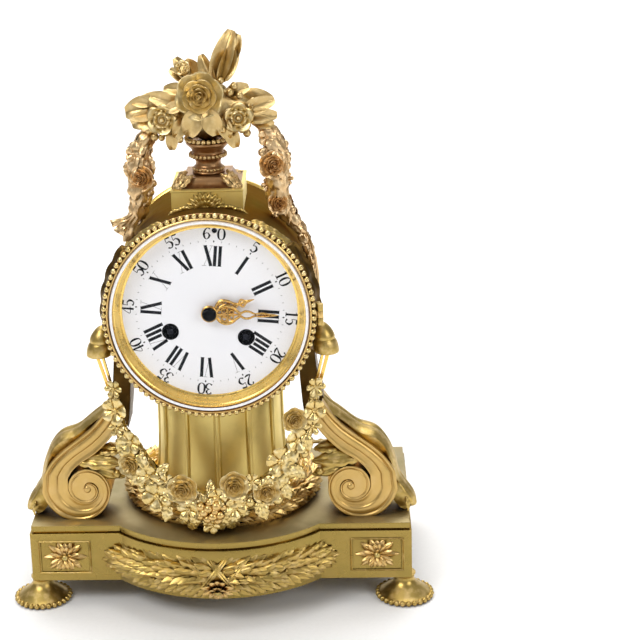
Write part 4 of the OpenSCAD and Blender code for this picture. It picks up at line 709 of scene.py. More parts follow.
def bolsterPoint(t, b, out=0.0):
    # t runs from -1 at the left end to 1 at the right, b is the angle up the half oval
    a = t * math.asin(bolster["half"] / bolsterR)
    swell = 0.3 + 0.7 * math.sqrt(max(0.0, math.cos(math.radians(t * 80))))
    r = bolsterR - bolster["reach"] + (bolster["reach"] - 1.3) * math.cos(b) * (0.5 + swell / 2) + out * math.cos(b)
    middle = bolsterR + bolster["front"] - bolster["sag"] - 1
    return Vector((math.sin(a) * r, middle - math.cos(a) * r,
                   bolster["z"] + 3 * (1 - swell) + math.sin(b) * ((bolster["height"] / 2 - 1) * swell + out)))


def bolsterFrame(t, b):
    place = bolsterPoint(t, b)
    along = (bolsterPoint(t + 0.01, b) - bolsterPoint(t - 0.01, b)).normalized()
    climb = (bolsterPoint(t, b + 0.02) - bolsterPoint(t, b - 0.02)).normalized()
    out = along.cross(climb)
    if out.dot(Vector((place.x, place.y - 20, (place.z - bolster["z"]) * 2))) < 0:
        out = -out
    return place, along, climb, out


def makeBolster():
    rows, cols = bolster["steps"] + 1, 17
    points = []
    for i in range(rows):
        for j in range(cols):
            points.append(bolsterPoint(2 * i / (rows - 1) - 1, math.radians(-90 + 180 * j / (cols - 1)), -0.6))
    points += [bolsterPoint(2 * i / (rows - 1) - 1, 0) + Vector((0, 9, 0)) for i in range(rows)]
    faces = gridFaces(rows, cols)
    n = rows * cols
    for i in range(rows - 1):
        faces.append((i * cols, n + i, n + i + 1, (i + 1) * cols))
        faces.append((i * cols + cols - 1, (i + 1) * cols + cols - 1, n + i + 1, n + i))
    for i in (0, rows - 1):
        for j in range(cols - 1):
            faces.append((i * cols + j, i * cols + j + 1, n + i))
    makePiece("bolsterBody", [(points, faces)], gilt["agedGilt"], replaces=("bow_laurel",))
    rng = random.Random(5)
    leaves, berries = [], []
    arc = 2 * bolsterR * math.asin(bolster["half"] / bolsterR)
    count = int(arc / 2 / bolster["pitch"])
    for row in range(bolster["rows"]):
        b = math.radians(-78 + 156 * row / (bolster["rows"] - 1))
        for k in range(count + 1):
            for side in (-1, 1):
                t = side * min(0.985, (k + 0.5 * (row % 2) + 0.35) / count)
                if abs(t) < 0.05:
                    continue
                place, along, climb, out = bolsterFrame(t, b + rng.uniform(-0.05, 0.05))
                swell = 0.55 + 0.45 * math.sqrt(max(0.0, math.cos(math.radians(t * 80))))
                lean = rng.uniform(-0.22, 0.22) + 0.25 * math.sin(b)
                size = bolster["leaf"] * swell
                leaves.append(spot(place - along * side * 3.5, out + along * side * -0.22,
                                   along * side + climb * lean, (size * rng.uniform(0.9, 1.1), size, size)))
                if rng.random() < 0.16:
                    berries.append(spot(place + out * 0.7 + climb * 1.6, out, along, 0.95))
    spread("bolsterLeaves", laurelUnit, leaves, gilt["agedGilt"], seed=5)
    spread("bolsterBerries", berryUnit, berries, gilt["agedGilt"], seed=6)


def ribbonShape(line, outward, width, thick):
    # Band with two ridges along a line of points; width is one number or one for each point
    points = []
    for i, p in enumerate(line):
        ahead = (line[min(i + 1, len(line) - 1)] - line[max(i - 1, 0)]).normalized()
        wide = width[i] if isinstance(width, list) else width
        side = ahead.cross(outward[i]).normalized() * wide / 2
        lift = outward[i].normalized() * thick
        points += [p - side - lift, p - side + lift * 0.8, p - side * 0.45 + lift * 1.7, p + lift * 0.9,
                   p + side * 0.45 + lift * 1.7, p + side + lift * 0.8, p + side - lift]
    n = len(line)
    faces = gridFaces(n, 7, around=True)
    faces += [tuple(range(7)), tuple(range(7 * n - 7, 7 * n))]
    return points, faces


def makeBolsterRibbon():
    shapes = []
    for start, end in ((-0.26, 0.06), (-0.10, 0.22), (0.26, -0.06), (0.10, -0.22)):
        line, outward = [], []
        for k in range(15):
            f = k / 14
            place, _, _, out = bolsterFrame(start + (end - start) * f, math.radians(78 - 150 * f))
            line.append(place + out * 1.0)
            outward.append(out)
        shapes.append(ribbonShape(line, outward, 3.0, 0.45))
    makePiece("bolsterRibbon", shapes, gilt["agedGilt"])


rosettes = {"panelX": 91.0, "panelZ": 30.5, "panelY": -52.7, "width": 25.0, "height": 17.0, "bowR": 12.5,
            "border": (15.1, 10.0)}     # half the width and height of the line round each panel


def rosetteSpots(centre, facing, upward, radius, flat=1.0):
    # Three rings of petals, each steeper and smaller than the one outside it, and a bead for the heart
    middle = spot(centre, facing, upward, 1.0)
    spots = []
    layers = ((1.0, 8, 0.0, 12), (0.74, 24, 0.5, 12), (0.46, 44, 0.9, 6))
    for layer, (share, tilt, raised, petals) in enumerate(layers):
        for a in turns(petals, 0.5 * layer):
            local = (Matrix.Diagonal((1, flat, 1, 1)) @ Matrix.Translation((0, 0, raised))
                     @ Matrix.Rotation(a, 4, "Z") @ Matrix.Translation((0, radius * 0.1, 0))
                     @ Matrix.Rotation(math.radians(tilt), 4, "X")
                     @ Matrix.Diagonal((radius * share * 1.25, radius * share * 0.9, radius * share, 1)))
            spots.append(middle @ local)
    heart = (middle @ Matrix.Translation((0, 0, 1.2))
             @ Matrix.Diagonal((radius * 0.17, radius * 0.17, radius * 0.15, 1)))
    return spots, [heart]


def makeRosettes():
    petals, hearts = [], []
    panelX, panelZ = rosettes["panelX"], rosettes["panelZ"]
    for side in (-1, 1):
        more, heart = rosetteSpots((side * panelX, rosettes["panelY"] - 0.4, panelZ), (0, -1, 0), (0, 0, 1),
                                   rosettes["width"] / 2, rosettes["height"] / rosettes["width"])
        petals += more
        hearts += heart
    spread("panelPetals", rosettePetalUnit, petals, gilt["laurelGilt"],
           replaces=("panel_rosettes",))
    place, _, climb, out = bolsterFrame(0.0, math.radians(-34))
    more, heart = rosetteSpots(place + out * 0.6, out, climb, rosettes["bowR"], 0.72)
    middle = spot(place, out, climb, (4.6, 3.4, 2.6))      # the petals spring from a low boss
    spread("bowPetals", rosettePetalUnit, more, gilt["laurelGilt"])
    spread("bowRosetteBoss", beadUnit, [middle], gilt["laurelGilt"])
    spread("rosetteHearts", beadUnit, hearts + heart, gilt["greenGilt"])
    shapes = []
    w, h = rosettes["border"]
    for side in (-1, 1):
        corners = [Vector((side * panelX + a * w, -53.4, panelZ + b * h))
                   for a, b in ((-1, -1), (1, -1), (1, 1), (-1, 1))]
        for i in range(4):
            p, q = corners[i], corners[(i + 1) % 4]
            shapes.append(ribbonShape([p + (q - p) * f for f in (0, 0.5, 1)], [Vector((0, -1, 0))] * 3, 0.9, 0.25))
    makePiece("panelBorders", shapes, gilt["agedGilt"])


makeBolster()
makeBolsterRibbon()
makeRosettes()
print("laurel bolster and rosettes made")

# Laurel ring under the column
ring = {"mid": 51.0, "tube": 7.0, "z": 57.0, "leaf": 8.6, "pitch": 4.2, "rows": 9}


def ringPoint(a, b, out=0.0):
    r = ring["mid"] + (ring["tube"] - 1.2 + out) * math.cos(b)
    return Vector((r * math.sin(a), -r * math.cos(a), ring["z"] + (ring["tube"] - 1.2 + out) * math.sin(b)))


def makeRing():
    rows, cols = 120, 20
    points = [ringPoint(2 * math.pi * i / rows, 2 * math.pi * j / cols) for i in range(rows) for j in range(cols)]
    washer = lathed([(47.6, 50.02), (56, 50.02), (56, 51.6), (47.6, 51.6)], 72, closed=True)
    makePiece("ringBody", [(points, gridFaces(rows, cols, around=True, along=True)), washer], gilt["laurelGilt"],
              replaces=("socle_ring",))
    rng = random.Random(9)
    leaves, berries = [], []
    for row in range(ring["rows"]):
        b = math.radians(-38 + 176 * row / (ring["rows"] - 1))
        r = ring["mid"] + ring["tube"] * math.cos(b)
        for a in turns(int(2 * math.pi * r / ring["pitch"]), 0.5 * (row % 2)):
            side = 1 if 0 < (a % (2 * math.pi)) < math.pi else -1
            bb = b + rng.uniform(-0.06, 0.06)
            place = ringPoint(a, bb)
            out = (ringPoint(a, bb, 1) - place).normalized()
            along = Vector((math.cos(a), math.sin(a), 0)) * side
            climb = out.cross(along)
            size = ring["leaf"] * rng.uniform(0.88, 1.1)
            leaves.append(spot(place - along * 2.8, out - along * 0.25,
                               along + climb * rng.uniform(-0.35, 0.35), size))
            if rng.random() < 0.14:
                berries.append(spot(place + out * 0.9, out, along, 1.0))
    spread("ringLeaves", laurelUnit, leaves, gilt["laurelGilt"], seed=2)
    spread("ringBerries", berryUnit, berries, gilt["laurelGilt"], seed=4)


makeRing()

# Ribbed column that meets the underside of the drum
column = {"r": 36.0, "flare": 3.0, "ribs": 12, "ribW": 2.6, "ribT": 1.5, "bore": 29.0, "footZ": 56.0, "footR": 43.6}


def makeColumn():
    levels = 40
    spacing = 2 * math.pi / column["ribs"]
    low = column["footZ"] + 3
    half = column["ribW"] / 2

    def surface(a, f):
        rib = 0.0
        off = ((a + spacing / 2) % spacing - spacing / 2)
        top = clock["drumZ"] - drumHalf(column["r"] * math.sin(a)) - 0.05
        z = low + (top - low) * f
        r = column["r"] + column["flare"] * math.exp(-(z - low) / 16.0) + 0.6 * max(0.0, (z - 110) / 30)
        away = abs(off) * r
        start = min(1.0, max(0.0, (z - low - 3) / 1.2))
        if away < half:
            rib = column["ribT"] * math.sqrt(max(0.0, 1 - (away / half) ** 2) * 0.7 + 0.3) * start
        elif away < half + 0.8:
            rib = -0.25 * start     # a shallow channel beside each rib
        return Vector(((r + rib) * math.sin(a), -(r + rib) * math.cos(a), z))

    angles = []
    for k in range(column["ribs"]):
        angles += [k * spacing + share * spacing for share in (-0.5, -0.42, -0.34, -0.26, -0.18, -0.125)]
        angles += [k * spacing + mm / column["r"]
                   for mm in (-2.15, -1.75, -1.32, -1.28, -0.9, -0.45, 0, 0.45, 0.9, 1.28, 1.32, 1.75, 2.15)]
        angles += [k * spacing + share * spacing for share in (0.125, 0.18, 0.26, 0.34, 0.42)]
    flared = column["r"] + column["flare"]
    footR = column["footR"]
    socle = [(column["bore"], 50.05), (footR - 0.2, 50.05), (footR, 50.6), (footR, 54.6), (footR - 1.2, 55.8),
             (flared + 1.2, 57.2), (flared + 0.2, 58.4)]
    points = [(r * math.sin(a), -r * math.cos(a), z) for r, z in socle for a in angles]
    for level in range(levels + 1):
        points += [surface(a, level / levels) for a in angles]
    for a in angles:
        x = column["bore"] * math.sin(a)
        points.append((x, -column["bore"] * math.cos(a), clock["drumZ"] - drumHalf(x) - 0.05))
    rows = len(points) // len(angles)
    makePiece("ribbedColumn", [(points, gridFaces(rows, len(angles), around=True, along=True))], gilt["columnGilt"],
              replaces=("column",), smooth=40)


makeColumn()
print("laurel ring and column made")

# Drum: barrel, rear ring and rear door from the CAD, front ring turned afresh with its beads
shell = softened("drum_barrel", "drumShell", 0.25, gilt["drumGilt"])
rimBack = (clock["drumFront"] + 4.6 + clock["axisBack"]) / 1000
addFinish(shell, gilt["agedGilt"], lambda face: face.center.y < rimBack)      # brighter than the barrel behind it
softened("rear_bezel", "rearRing", 0.3, gilt["brightGilt"])
softened("back_door", "rearDoor", 0.3, gilt["smoothGilt"], "rear_door")

bezel = {
    "beadRing": 58.1, "beads": 96, "beadR": 1.62, "backY": -59.3, "glassFront": -62.4, "hingeX": 61.5,
    "hingeY": -60.0,
}


def makeBezel():
    back, front, z = bezel["backY"], bezel["glassFront"], clock["drumZ"]
    onDrum = (0, 0, z)
    profile = [(54.5, back), (58.9, back), (59.1, back - 0.4), (58.9, back - 0.8), (58.3, back - 1.0),
               (57.4, back - 1.2), (57.0, back - 2.0), (57.0, front - 0.2), (56.6, front - 0.5), (56.1, front - 0.45),
               (56.05, front + 0.3), (56.05, front + 0.9), (56.02, back - 0.9), (54.5, back - 0.9)]
    ringShape = lathed(profile, 160, onDrum, "y", closed=True)
    tabPlan = ((57.6, back - 0.1), (60.8, back - 0.1), (60.8, back - 1.4), (57.6, back - 1.4))
    tab = [(x, y, c) for c in (z - 1.9, z + 1.9) for x, y in tabPlan]
    tabFaces = [(0, 1, 2, 3), (7, 6, 5, 4), (0, 4, 5, 1), (1, 5, 6, 2), (2, 6, 7, 3), (3, 7, 4, 0)]
    knuckle = lathed([(0.86, -1.9), (1.75, -1.9), (1.8, -1.8), (1.8, 1.8), (1.75, 1.9), (0.86, 1.9)], 24,
                     (bezel["hingeX"], bezel["hingeY"], z), closed=True)
    bezelRing = makePiece("bezelRing", [ringShape, (tab, tabFaces), knuckle], gilt["laurelGilt"], "front_door",
                          ("front_bezel",), smooth=30)

    def fromAxis(face):
        return math.hypot(face.center.x, face.center.z - z / 1000)
    # The seat behind the glass is bright, and the channel of the beads is darker: painted shade in the gaps between
    # the beads
    addFinish(bezelRing, gilt["brightGilt"], lambda face: fromAxis(face) < 0.0562)
    addFinish(bezelRing, gilt["urnGilt"], lambda face: 0.05705 < fromAxis(face) < 0.0592)
    beads = [spot((bezel["beadRing"] * math.cos(a), back - 2.15, z + bezel["beadRing"] * math.sin(a)), (0, -1, 0),
                  (0, 0, 1), bezel["beadR"]) for a in turns(bezel["beads"], 0.5)]
    spread("bezelBeads", beadUnit, beads, gilt["swagGilt"], "front_door", vary=0.05, seed=12)
    pane = lathed([(0, back - 0.92), (54.6, back - 0.92), (54.6, front), (0, front)], 96, onDrum, "y")
    makePiece("glassPane", [pane], clearGlass, "front_door", ("glass",), smooth=30)
    # The rim's white is a painted highlight where the bevel catches the light
    rim = lathed([(53.7, front - 0.05), (55.98, back - 0.92), (55.98, back - 1.15), (55.0, front - 0.55),
                  (53.7, front - 0.3)], 128, onDrum, "y", closed=True)
    makePiece("glassBevel", [rim], bevelGlass, "front_door", smooth=30)


def makeSightRing():
    front = clock["drumFront"]
    profile = [(48.95, -53.25), (49.15, -53.9), (49.6, -54.15), (50.1, -54.25), (50.7, -54.9), (51.3, -56.1),
               (51.9, -57.2), (52.5, -58.0), (52.75, -58.5), (53.2, -58.8), (53.5, -59.4), (53.9, -59.9),
               (54.3, -59.95), (54.35, -59.6), (54.3, front), (54.0, front + 0.2), (54.0, -53.25)]
    makePiece("sightRing", [lathed(profile, 160, (0, 0, clock["drumZ"]), "y", closed=True)], gilt["brightGilt"],
              replaces=("sight_ring",), smooth=26)


makeBezel()
makeSightRing()
print("drum made")

# Dial: numerals fired on the enamel, laid out from the centre and turned with the movement
# bold says how much heavier figures and hands are than their pen strokes
dial = {
    "faceY": -53.2, "inkT": 0.05, "romanIn": 27.0, "romanOut": 38.6, "thick": 1.8, "thin": 0.15, "minuteR": 41.2,
    "arabicR": 45.6, "arabicH": 6.6, "holeAt": ((21.3, -13.2), (-21.3, -13.2)), "bushR": 4.8, "bold": 1.25,
}
turned = Matrix.Translation((0, 0, clock["drumZ"])) @ Matrix.Rotation(math.radians(clock["dialTurn"]), 4, "Y")

# Each letter's strokes as (top x, bottom x, thick), and its width, in mm
letters = {
    "I": ([(0.0, 0.0, True)], 2.75),
    "V": ([(-1.9, 0.0, True), (1.9, 0.0, False)], 5.0),
    "X": ([(-1.9, 1.9, True), (1.9, -1.9, False)], 5.0),
}
hourWords = ["XII", "I", "II", "III", "IIII", "V", "VI", "VII", "VIII", "IX", "X", "XI"]
# Pen strokes of (x, y, width) on a box one high
figures = {
    "0": [
        [(0, 0.5, 0.03), (0.2, 0.36, 0.1), (0.27, 0, 0.15), (0.2, -0.36, 0.1), (0, -0.5, 0.03)],
        [(0, 0.5, 0.03), (-0.2, 0.36, 0.1), (-0.27, 0, 0.15), (-0.2, -0.36, 0.1), (0, -0.5, 0.03)],
    ],
    "1": [
        [(0.02, 0.5, 0.14), (0.02, -0.48, 0.14)], [(-0.18, 0.36, 0.03), (0.02, 0.48, 0.05)],
        [(-0.16, -0.48, 0.05), (0.2, -0.48, 0.05)],
    ],
    "2": [
        [
            (-0.22, 0.28, 0.12), (-0.16, 0.43, 0.06), (0, 0.49, 0.04), (0.22, 0.32, 0.14), (0.12, 0.02, 0.12),
            (-0.26, -0.44, 0.04),
        ],
        [(-0.26, -0.43, 0.09), (0.05, -0.45, 0.12), (0.28, -0.36, 0.04)],
    ],
    "3": [
        [(-0.22, 0.34, 0.11), (0, 0.49, 0.04), (0.2, 0.3, 0.13), (0.1, 0.1, 0.07), (-0.06, 0.05, 0.03)],
        [(-0.06, 0.05, 0.03), (0.2, -0.05, 0.09), (0.24, -0.28, 0.14), (0, -0.49, 0.04), (-0.24, -0.34, 0.12)],
    ],
    "4": [[(0.12, 0.5, 0.12), (0.12, -0.48, 0.14)], [(0.08, 0.48, 0.04), (-0.28, -0.16, 0.04), (0.3, -0.16, 0.05)]],
    "5": [
        [(-0.18, 0.45, 0.06), (0.22, 0.45, 0.12)], [(-0.18, 0.45, 0.04), (-0.2, 0.04, 0.04)],
        [(-0.2, 0.04, 0.04), (0.04, 0.11, 0.07), (0.24, -0.14, 0.15), (0.06, -0.46, 0.06), (-0.22, -0.36, 0.12)],
    ],
    "6": [
        [
            (0.22, 0.38, 0.1), (0.04, 0.49, 0.04), (-0.18, 0.28, 0.1), (-0.26, -0.08, 0.15), (-0.16, -0.4, 0.1),
            (0.02, -0.5, 0.04), (0.24, -0.22, 0.14), (0.06, 0.06, 0.05), (-0.2, -0.06, 0.05),
        ],
    ],
}


def penShape(line, frameOut, steps=10, back=dial["faceY"] - 0.005, thick=dial["inkT"], edge=1.0):
    # Stroke of changing width as a thin closed slab; frameOut turns (x, y) into dial x and z
    fine = smoothLine(line, max(2, steps if len(line) > 2 else 2))
    section = ((-1, 0), (1, 0), (1, 1), (-1, 1))
    if edge < 1:
        section = ((-1, 0), (1, 0), (1, 0.5), (edge, 1), (-edge, 1), (-1, 0.5))
    m = len(section)
    points = []
    for i, (x, y, w) in enumerate(fine):
        ahead = Vector(fine[min(i + 1, len(fine) - 1)][:2]) - Vector(fine[max(i - 1, 0)][:2])
        side = Vector((-ahead.y, ahead.x)).normalized() * w / 2
        for s, y0 in section:
            u, v = frameOut(x + side.x * s, y + side.y * s)
            points.append((u, back - thick * y0, v))
    faces = gridFaces(len(fine), m, around=True)
    faces += [tuple(range(m)), tuple(len(points) - m + k for k in range(m))]
    return points, faces


def dialTurn(a):
    # Turns what is drawn upright under XII clockwise by a
    def toDial(x, y):
        return x * math.cos(a) + y * math.sin(a), -x * math.sin(a) + y * math.cos(a)
    return toDial


def makeNumerals():
    shapes = []
    inner, outer = dial["romanIn"], dial["romanOut"]
    for hour, word in enumerate(hourWords):
        a = math.radians(30 * hour)
        toDial = dialTurn(a)
        start = -sum(letters[c][1] for c in word) / 2
        for c in word:
            strokes, width = letters[c]
            middle = start + width / 2
            start += width
            for top, bottom, heavy in strokes:
                wide = dial["thick"] if heavy else dial["thin"]
                low = inner
                for hx, hz in dial["holeAt"]:       # a stroke stops where a winding hole begins
                    across, up = hx * math.cos(a) - hz * math.sin(a), hx * math.sin(a) + hz * math.cos(a)
                    while math.hypot(middle + bottom + (top - bottom) * (low - inner) / (outer - inner) - across,
                                     low - up) < dial["bushR"] + 0.4:
                        low += 0.1
                strokeFoot = middle + bottom + (top - bottom) * (low - inner) / (outer - inner)
                shapes.append(penShape([(strokeFoot, low, wide), (middle + top, outer, wide)], toDial))
                for x, y in ((middle + top, outer), (strokeFoot, low)):
                    if (c != "V" or y == outer) and (y == outer or low == inner):
                        shapes.append(penShape([(x - 1.25, y, 0.14), (x + 1.25, y, 0.14)], toDial))
    dotR, size = dial["minuteR"], dial["arabicH"]
    for minute in range(60):
        toDial = dialTurn(math.radians(6 * minute))
        if minute % 5:
            shapes.append(penShape([(0, dotR - 0.45, 0.22), (0, dotR + 0.45, 0.22)], toDial))
            continue
        shapes.append(penShape([(0, dotR - 0.7, 0.05), (0, dotR, 0.85), (0, dotR + 0.7, 0.05)], toDial, 5))
        word = str(minute or 60)
        pitch = 4.2 if minute else 8.0      # at the top the two figures stand clear of the regulator's square
        for k, c in enumerate(word):
            middle = (k - (len(word) - 1) / 2) * pitch
            for line in figures[c]:
                big = [(middle + x * size, dial["arabicR"] + y * size, w * size * dial["bold"]) for x, y, w in line]
                shapes.append(penShape(big, toDial, 14))
    makePiece("dialNumerals", shapes, dialInk, turn=turned)
    face, bushR = dial["faceY"], dial["bushR"]
    # Black cups lining the winding holes: painted shade that makes the holes read dark and hides the plate behind
    cup = [(4.38, face - 0.02), (4.38, -46.6), (2.75, -46.6), (2.75, -46.9), (3.9, -46.9), (3.95, face - 0.1),
           (4.2, face - 0.45), (bushR - 0.15, face - 0.4), (bushR, face - 0.02)]
    holeShades = [lathed(cup, 40, (x, 0, z), "y", closed=True) for x, z in dial["holeAt"]]
    makePiece("windingCups", holeShades, blackSteel, turn=turned)


makeNumerals()
# Openwork hands, sawn out and chased. Strokes hold (along the hand, across it, width), rings (along, across,
# radius), and what is in "pair" is drawn on both sides
hands = {
    "minute": {
        "node": "minute_hand", "body": "minute_work", "turn": 86.4, "back": -56.9,
        "pair": [
            [(4.0, 1.4, 1.3), (6, 4, 1.4), (9.5, 5.2, 1.6), (13, 4.1, 1.4), (15.6, 1.9, 1.2), (17.6, 0.8, 1.0)],
            [(17.2, 0.5, 0.9), (19.4, 1.9, 1.0), (22, 2.0, 1.0), (24.5, 0.9, 0.9), (26, 0.5, 0.8)],
            [(25.5, 0.55, 0.8), (29, 0.9, 0.9), (32.5, 0.5, 0.8), (34.5, 0.2, 0.7)],
        ],
        "rings": [(8.4, 2.4, 1.5), (12.4, 1.6, 1.1)],
        "single": [
            [(4.2, 0, 1.0), (17.6, 0, 0.9)], [(10.4, -4.8, 0.8), (10.4, 4.8, 0.8)],
            [(33.5, 0, 1.5), (36, 0, 1.0), (38.4, 0, 0.15)],
        ],
    },
    "hour": {
        "node": "hour_hand", "body": "hour_work", "turn": 67.2, "back": -55.4,
        "pair": [
            [(4.0, 1.4, 1.3), (6, 3.8, 1.4), (9, 4.8, 1.5), (12.2, 3.5, 1.3), (14.6, 1.4, 1.1), (16.2, 0.6, 1.0)],
            [(17.4, 0.2, 0.9), (19.2, 2.0, 1.0), (21.4, 0.6, 0.8)],
        ],
        "rings": [(7.9, 2.2, 1.4), (11.5, 1.4, 1.0)],
        "single": [
            [(4.2, 0, 1.0), (16.2, 0, 0.9)], [(9.7, -4.4, 0.8), (9.7, 4.4, 0.8)], [(15.5, 0, 1.6), (20.0, 0, 1.1)],
            [(19.8, 0, 1.7), (23, 0, 1.3), (26.4, 0, 0.2)],
        ],
    },
}


def makeHand(name, look):
    onDial = dialTurn(math.radians(look["turn"]))

    def toDial(x, y):
        return onDial(y, x)
    lines = look["single"] + look["pair"] + [[(x, -y, w) for x, y, w in line] for line in look["pair"]]
    for x, y, r in look["rings"]:
        for side in (-1, 1):
            lines.append([(x + r * math.cos(k * math.pi / 4), side * y + r * math.sin(k * math.pi / 4), 0.8)
                          for k in range(9)])
    back = look["back"]
    shapes = [penShape([(x, y, w * dial["bold"]) for x, y, w in line], toDial, 16, back, 0.8, 0.45) for line in lines]
    shapes.append(lathed([(2.2, back), (4.6, back), (4.6, back - 0.5), (4.2, back - 0.8), (2.2, back - 0.8)], 40,
                         axis="y", closed=True))
    makePiece(name + "Hand", shapes, gilt["handGilt"], look["body"], (look["node"],), turn=turned)


for name, look in hands.items():
    makeHand(name, look)
nut = lathed([(0, -60.0), (1.0, -59.94), (2.1, -59.65), (3.1, -59.1), (3.8, -58.4), (4.1, -57.74), (0, -57.74)], 40,
             axis="y")
makePiece("handNut", [nut], blackSteel, "minute_work", ("hand_nut",), turn=turned)
print("dial and hands made")

# Consoles: a strip with rounded bands that rolls into a volute
volute = {
    "eye": (76.8, 69.4), "front": -43.0, "depth": 24.0, "strip": 22, "coil": 90, "lip": 2.2, "advance": 1.6,
    "outer": [
        (61.2, 121.0), (64.0, 117.2), (67.6, 112.4), (73.0, 106.4), (80.2, 100.7), (89.0, 94.0), (97.0, 86.2),
        (102.2, 78.0),
    ],
    "inner": [
        (53.6, 112.6), (56.0, 108.4), (60.8, 101.7), (65.4, 96.4), (71.4, 90.8), (78.4, 86.2), (84.2, 81.4),
        (87.8, 75.6),
    ],
    "turn": [
        (0, 27.2), (45, 24.4), (90, 19.6), (135, 15.4), (180, 13.2), (225, 12.5), (270, 12.3), (315, 11.8),
        (360, 10.9), (405, 9.8), (450, 8.6), (495, 7.3), (540, 6.0), (585, 4.7), (630, 3.3), (675, 1.8),
    ],
    "relief": [
        (0.0, 2.2), (0.0, 0.35), (0.02, 0.08), (0.07, 0.0), (0.12, 0.12), (0.155, 0.9), (0.19, 1.0), (0.23, 0.4),
        (0.3, 0.1), (0.4, 0.0), (0.5, 0.12), (0.555, 0.5), (0.585, 1.15), (0.63, 1.2), (0.68, 1.0), (0.77, 0.95),
        (0.86, 0.7), (0.92, 0.2), (0.96, 0.0), (0.99, 0.15), (1.0, 0.5), (1.0, 2.2),
    ],
}


def makeConsole(side, name, nodes):
    eyeX, eyeZ = volute["eye"]
    strip, coilSteps, lip = volute["strip"], volute["coil"], volute["lip"]
    outer = smoothLine(volute["outer"], strip)
    inner = smoothLine(volute["inner"], strip)
    fineOut = smoothLine(volute["turn"], coilSteps)
    # Each turn's inner edge lies on the next turn's outer one, eight stations of 45 degrees on
    coil = [r for a, r in volute["turn"]][8:] + [1.4, 0.9, 0.6, 0.5, 0.4, 0.3, 0.2, 0.1]
    fineIn = smoothLine([(a, r + 0.25) for (a, _), r in zip(volute["turn"], coil)], coilSteps)
    for (a, r), (_, s) in zip(fineOut[1:], fineIn[1:]):
        c, d = math.cos(math.radians(a)), math.sin(math.radians(a))
        outer.append((eyeX + r * c, eyeZ - r * d))
        inner.append((eyeX + s * c, eyeZ - s * d))
    rows, cols = len(outer), len(volute["relief"])
    front, back = volute["front"], volute["front"] + volute["depth"]

    def advance(i):
        return -volute["advance"] * max(0, i - strip) / (rows - strip)

    points = []
    for i in range(rows):
        fade = max(0.0, 1 - 2.6 * (max(0, i - strip) / (rows - strip)))     # the bands die out as the strip rolls up
        for share, sink in volute["relief"]:
            deep = fade if 0.2 < share < 0.96 else 1.0 if sink > 1.5 else 0.45 + 0.55 * fade
            x = outer[i][0] + (inner[i][0] - outer[i][0]) * share
            z = outer[i][1] + (inner[i][1] - outer[i][1]) * share
            points.append((side * x, front + sink * deep + advance(i), z))
    # Side walls run back from the strip's two edges over the parts that stand free
    reach = strip + coilSteps // 2
    outWall = [(side * outer[i][0], y, outer[i][1]) for i in range(reach)
               for y in (front + lip + advance(i), front + 6, back)]
    inWall = [(side * inner[i][0], y, inner[i][1]) for i in range(strip + 2) for y in (front + lip, front + 6, back)]
    backLoop = [(side * edge[i][0], back, edge[i][1]) for edge in (outer, inner) for i in range(strip)]
    rollProfile = [(0, 0.4), (10.8, 0.4), (11.0, 3.0), (10.6, 8.0), (10.6, volute["depth"]), (0, volute["depth"])]
    roll = lathed(rollProfile, 48, (side * eyeX, front + 1.6, eyeZ), "y")
    disc = [(side * outer[i][0], back, outer[i][1]) for i in range(strip, reach)]
    centre = len(disc)
    disc.append((side * eyeX, back, eyeZ))
    shapes = [(points, gridFaces(rows, cols)), (outWall, gridFaces(reach, 3)), (inWall, gridFaces(strip + 2, 3)),
              (backLoop, [(i, i + 1, i + strip + 1, i + strip) for i in range(strip - 1)]), roll,
              (disc, [(i, i + 1, centre) for i in range(centre - 1)])]
    makePiece(name, shapes, gilt["scrollGilt"], replaces=nodes, smooth=50, closed=False)
    eyeCap = [(0, -0.9), (1.0, -0.85), (1.8, -0.5), (2.3, 0.3), (2.3, 2.0)]
    makePiece(name + "Eye", [lathed(eyeCap, 32, (side * (eyeX - 0.2), front - 1.2, eyeZ), "y")], gilt["scrollGilt"])


consoleLeaf = {
    "outerPath": [
        (62.6, 121), (67.2, 116.4), (74.5, 111.4), (84, 106.4), (93, 100.6), (99, 93), (102.8, 84), (106.0, 74.5),
        (110.4, 65.5), (114.4, 58.6), (115.4, 52.6), (111.6, 50.7),
    ],
    "innerPath": [
        (60.6, 119), (64.5, 114), (70.5, 107.5), (79.5, 100.0), (87.6, 93.8), (94.5, 87.2), (98.6, 80), (100.6, 72),
        (100.8, 64.5), (101.4, 57.5), (104.5, 52.6), (108.0, 50.6),
    ],
    "y": -30.0, "width": 22.0,
    "acanthus": [
        ((83.0, -39.6, 87.0), (-1, -0.05, -0.10), (0.1, -1, 0.55), (17, 28, 16)),
        ((80.0, -38.6, 84.0), (-1, -0.05, -0.34), (0.1, -1, 0.25), (15, 27, 15)),
        ((70.0, -38.0, 92.0), (-1, 0.1, -0.25), (0.2, -0.8, 0.8), (14, 15, 14)),
        ((66.0, -30.0, 91.0), (-1, 0.3, -0.3), (0, 0.2, 1), (17, 17, 14)),
    ],
    "web": [
        (51.5, 104), (49.8, 118), (48.6, 134), (48.4, 147), (53.0, 152), (57.6, 150), (58.6, 138), (59.6, 128),
        (62.0, 121),
    ],
}


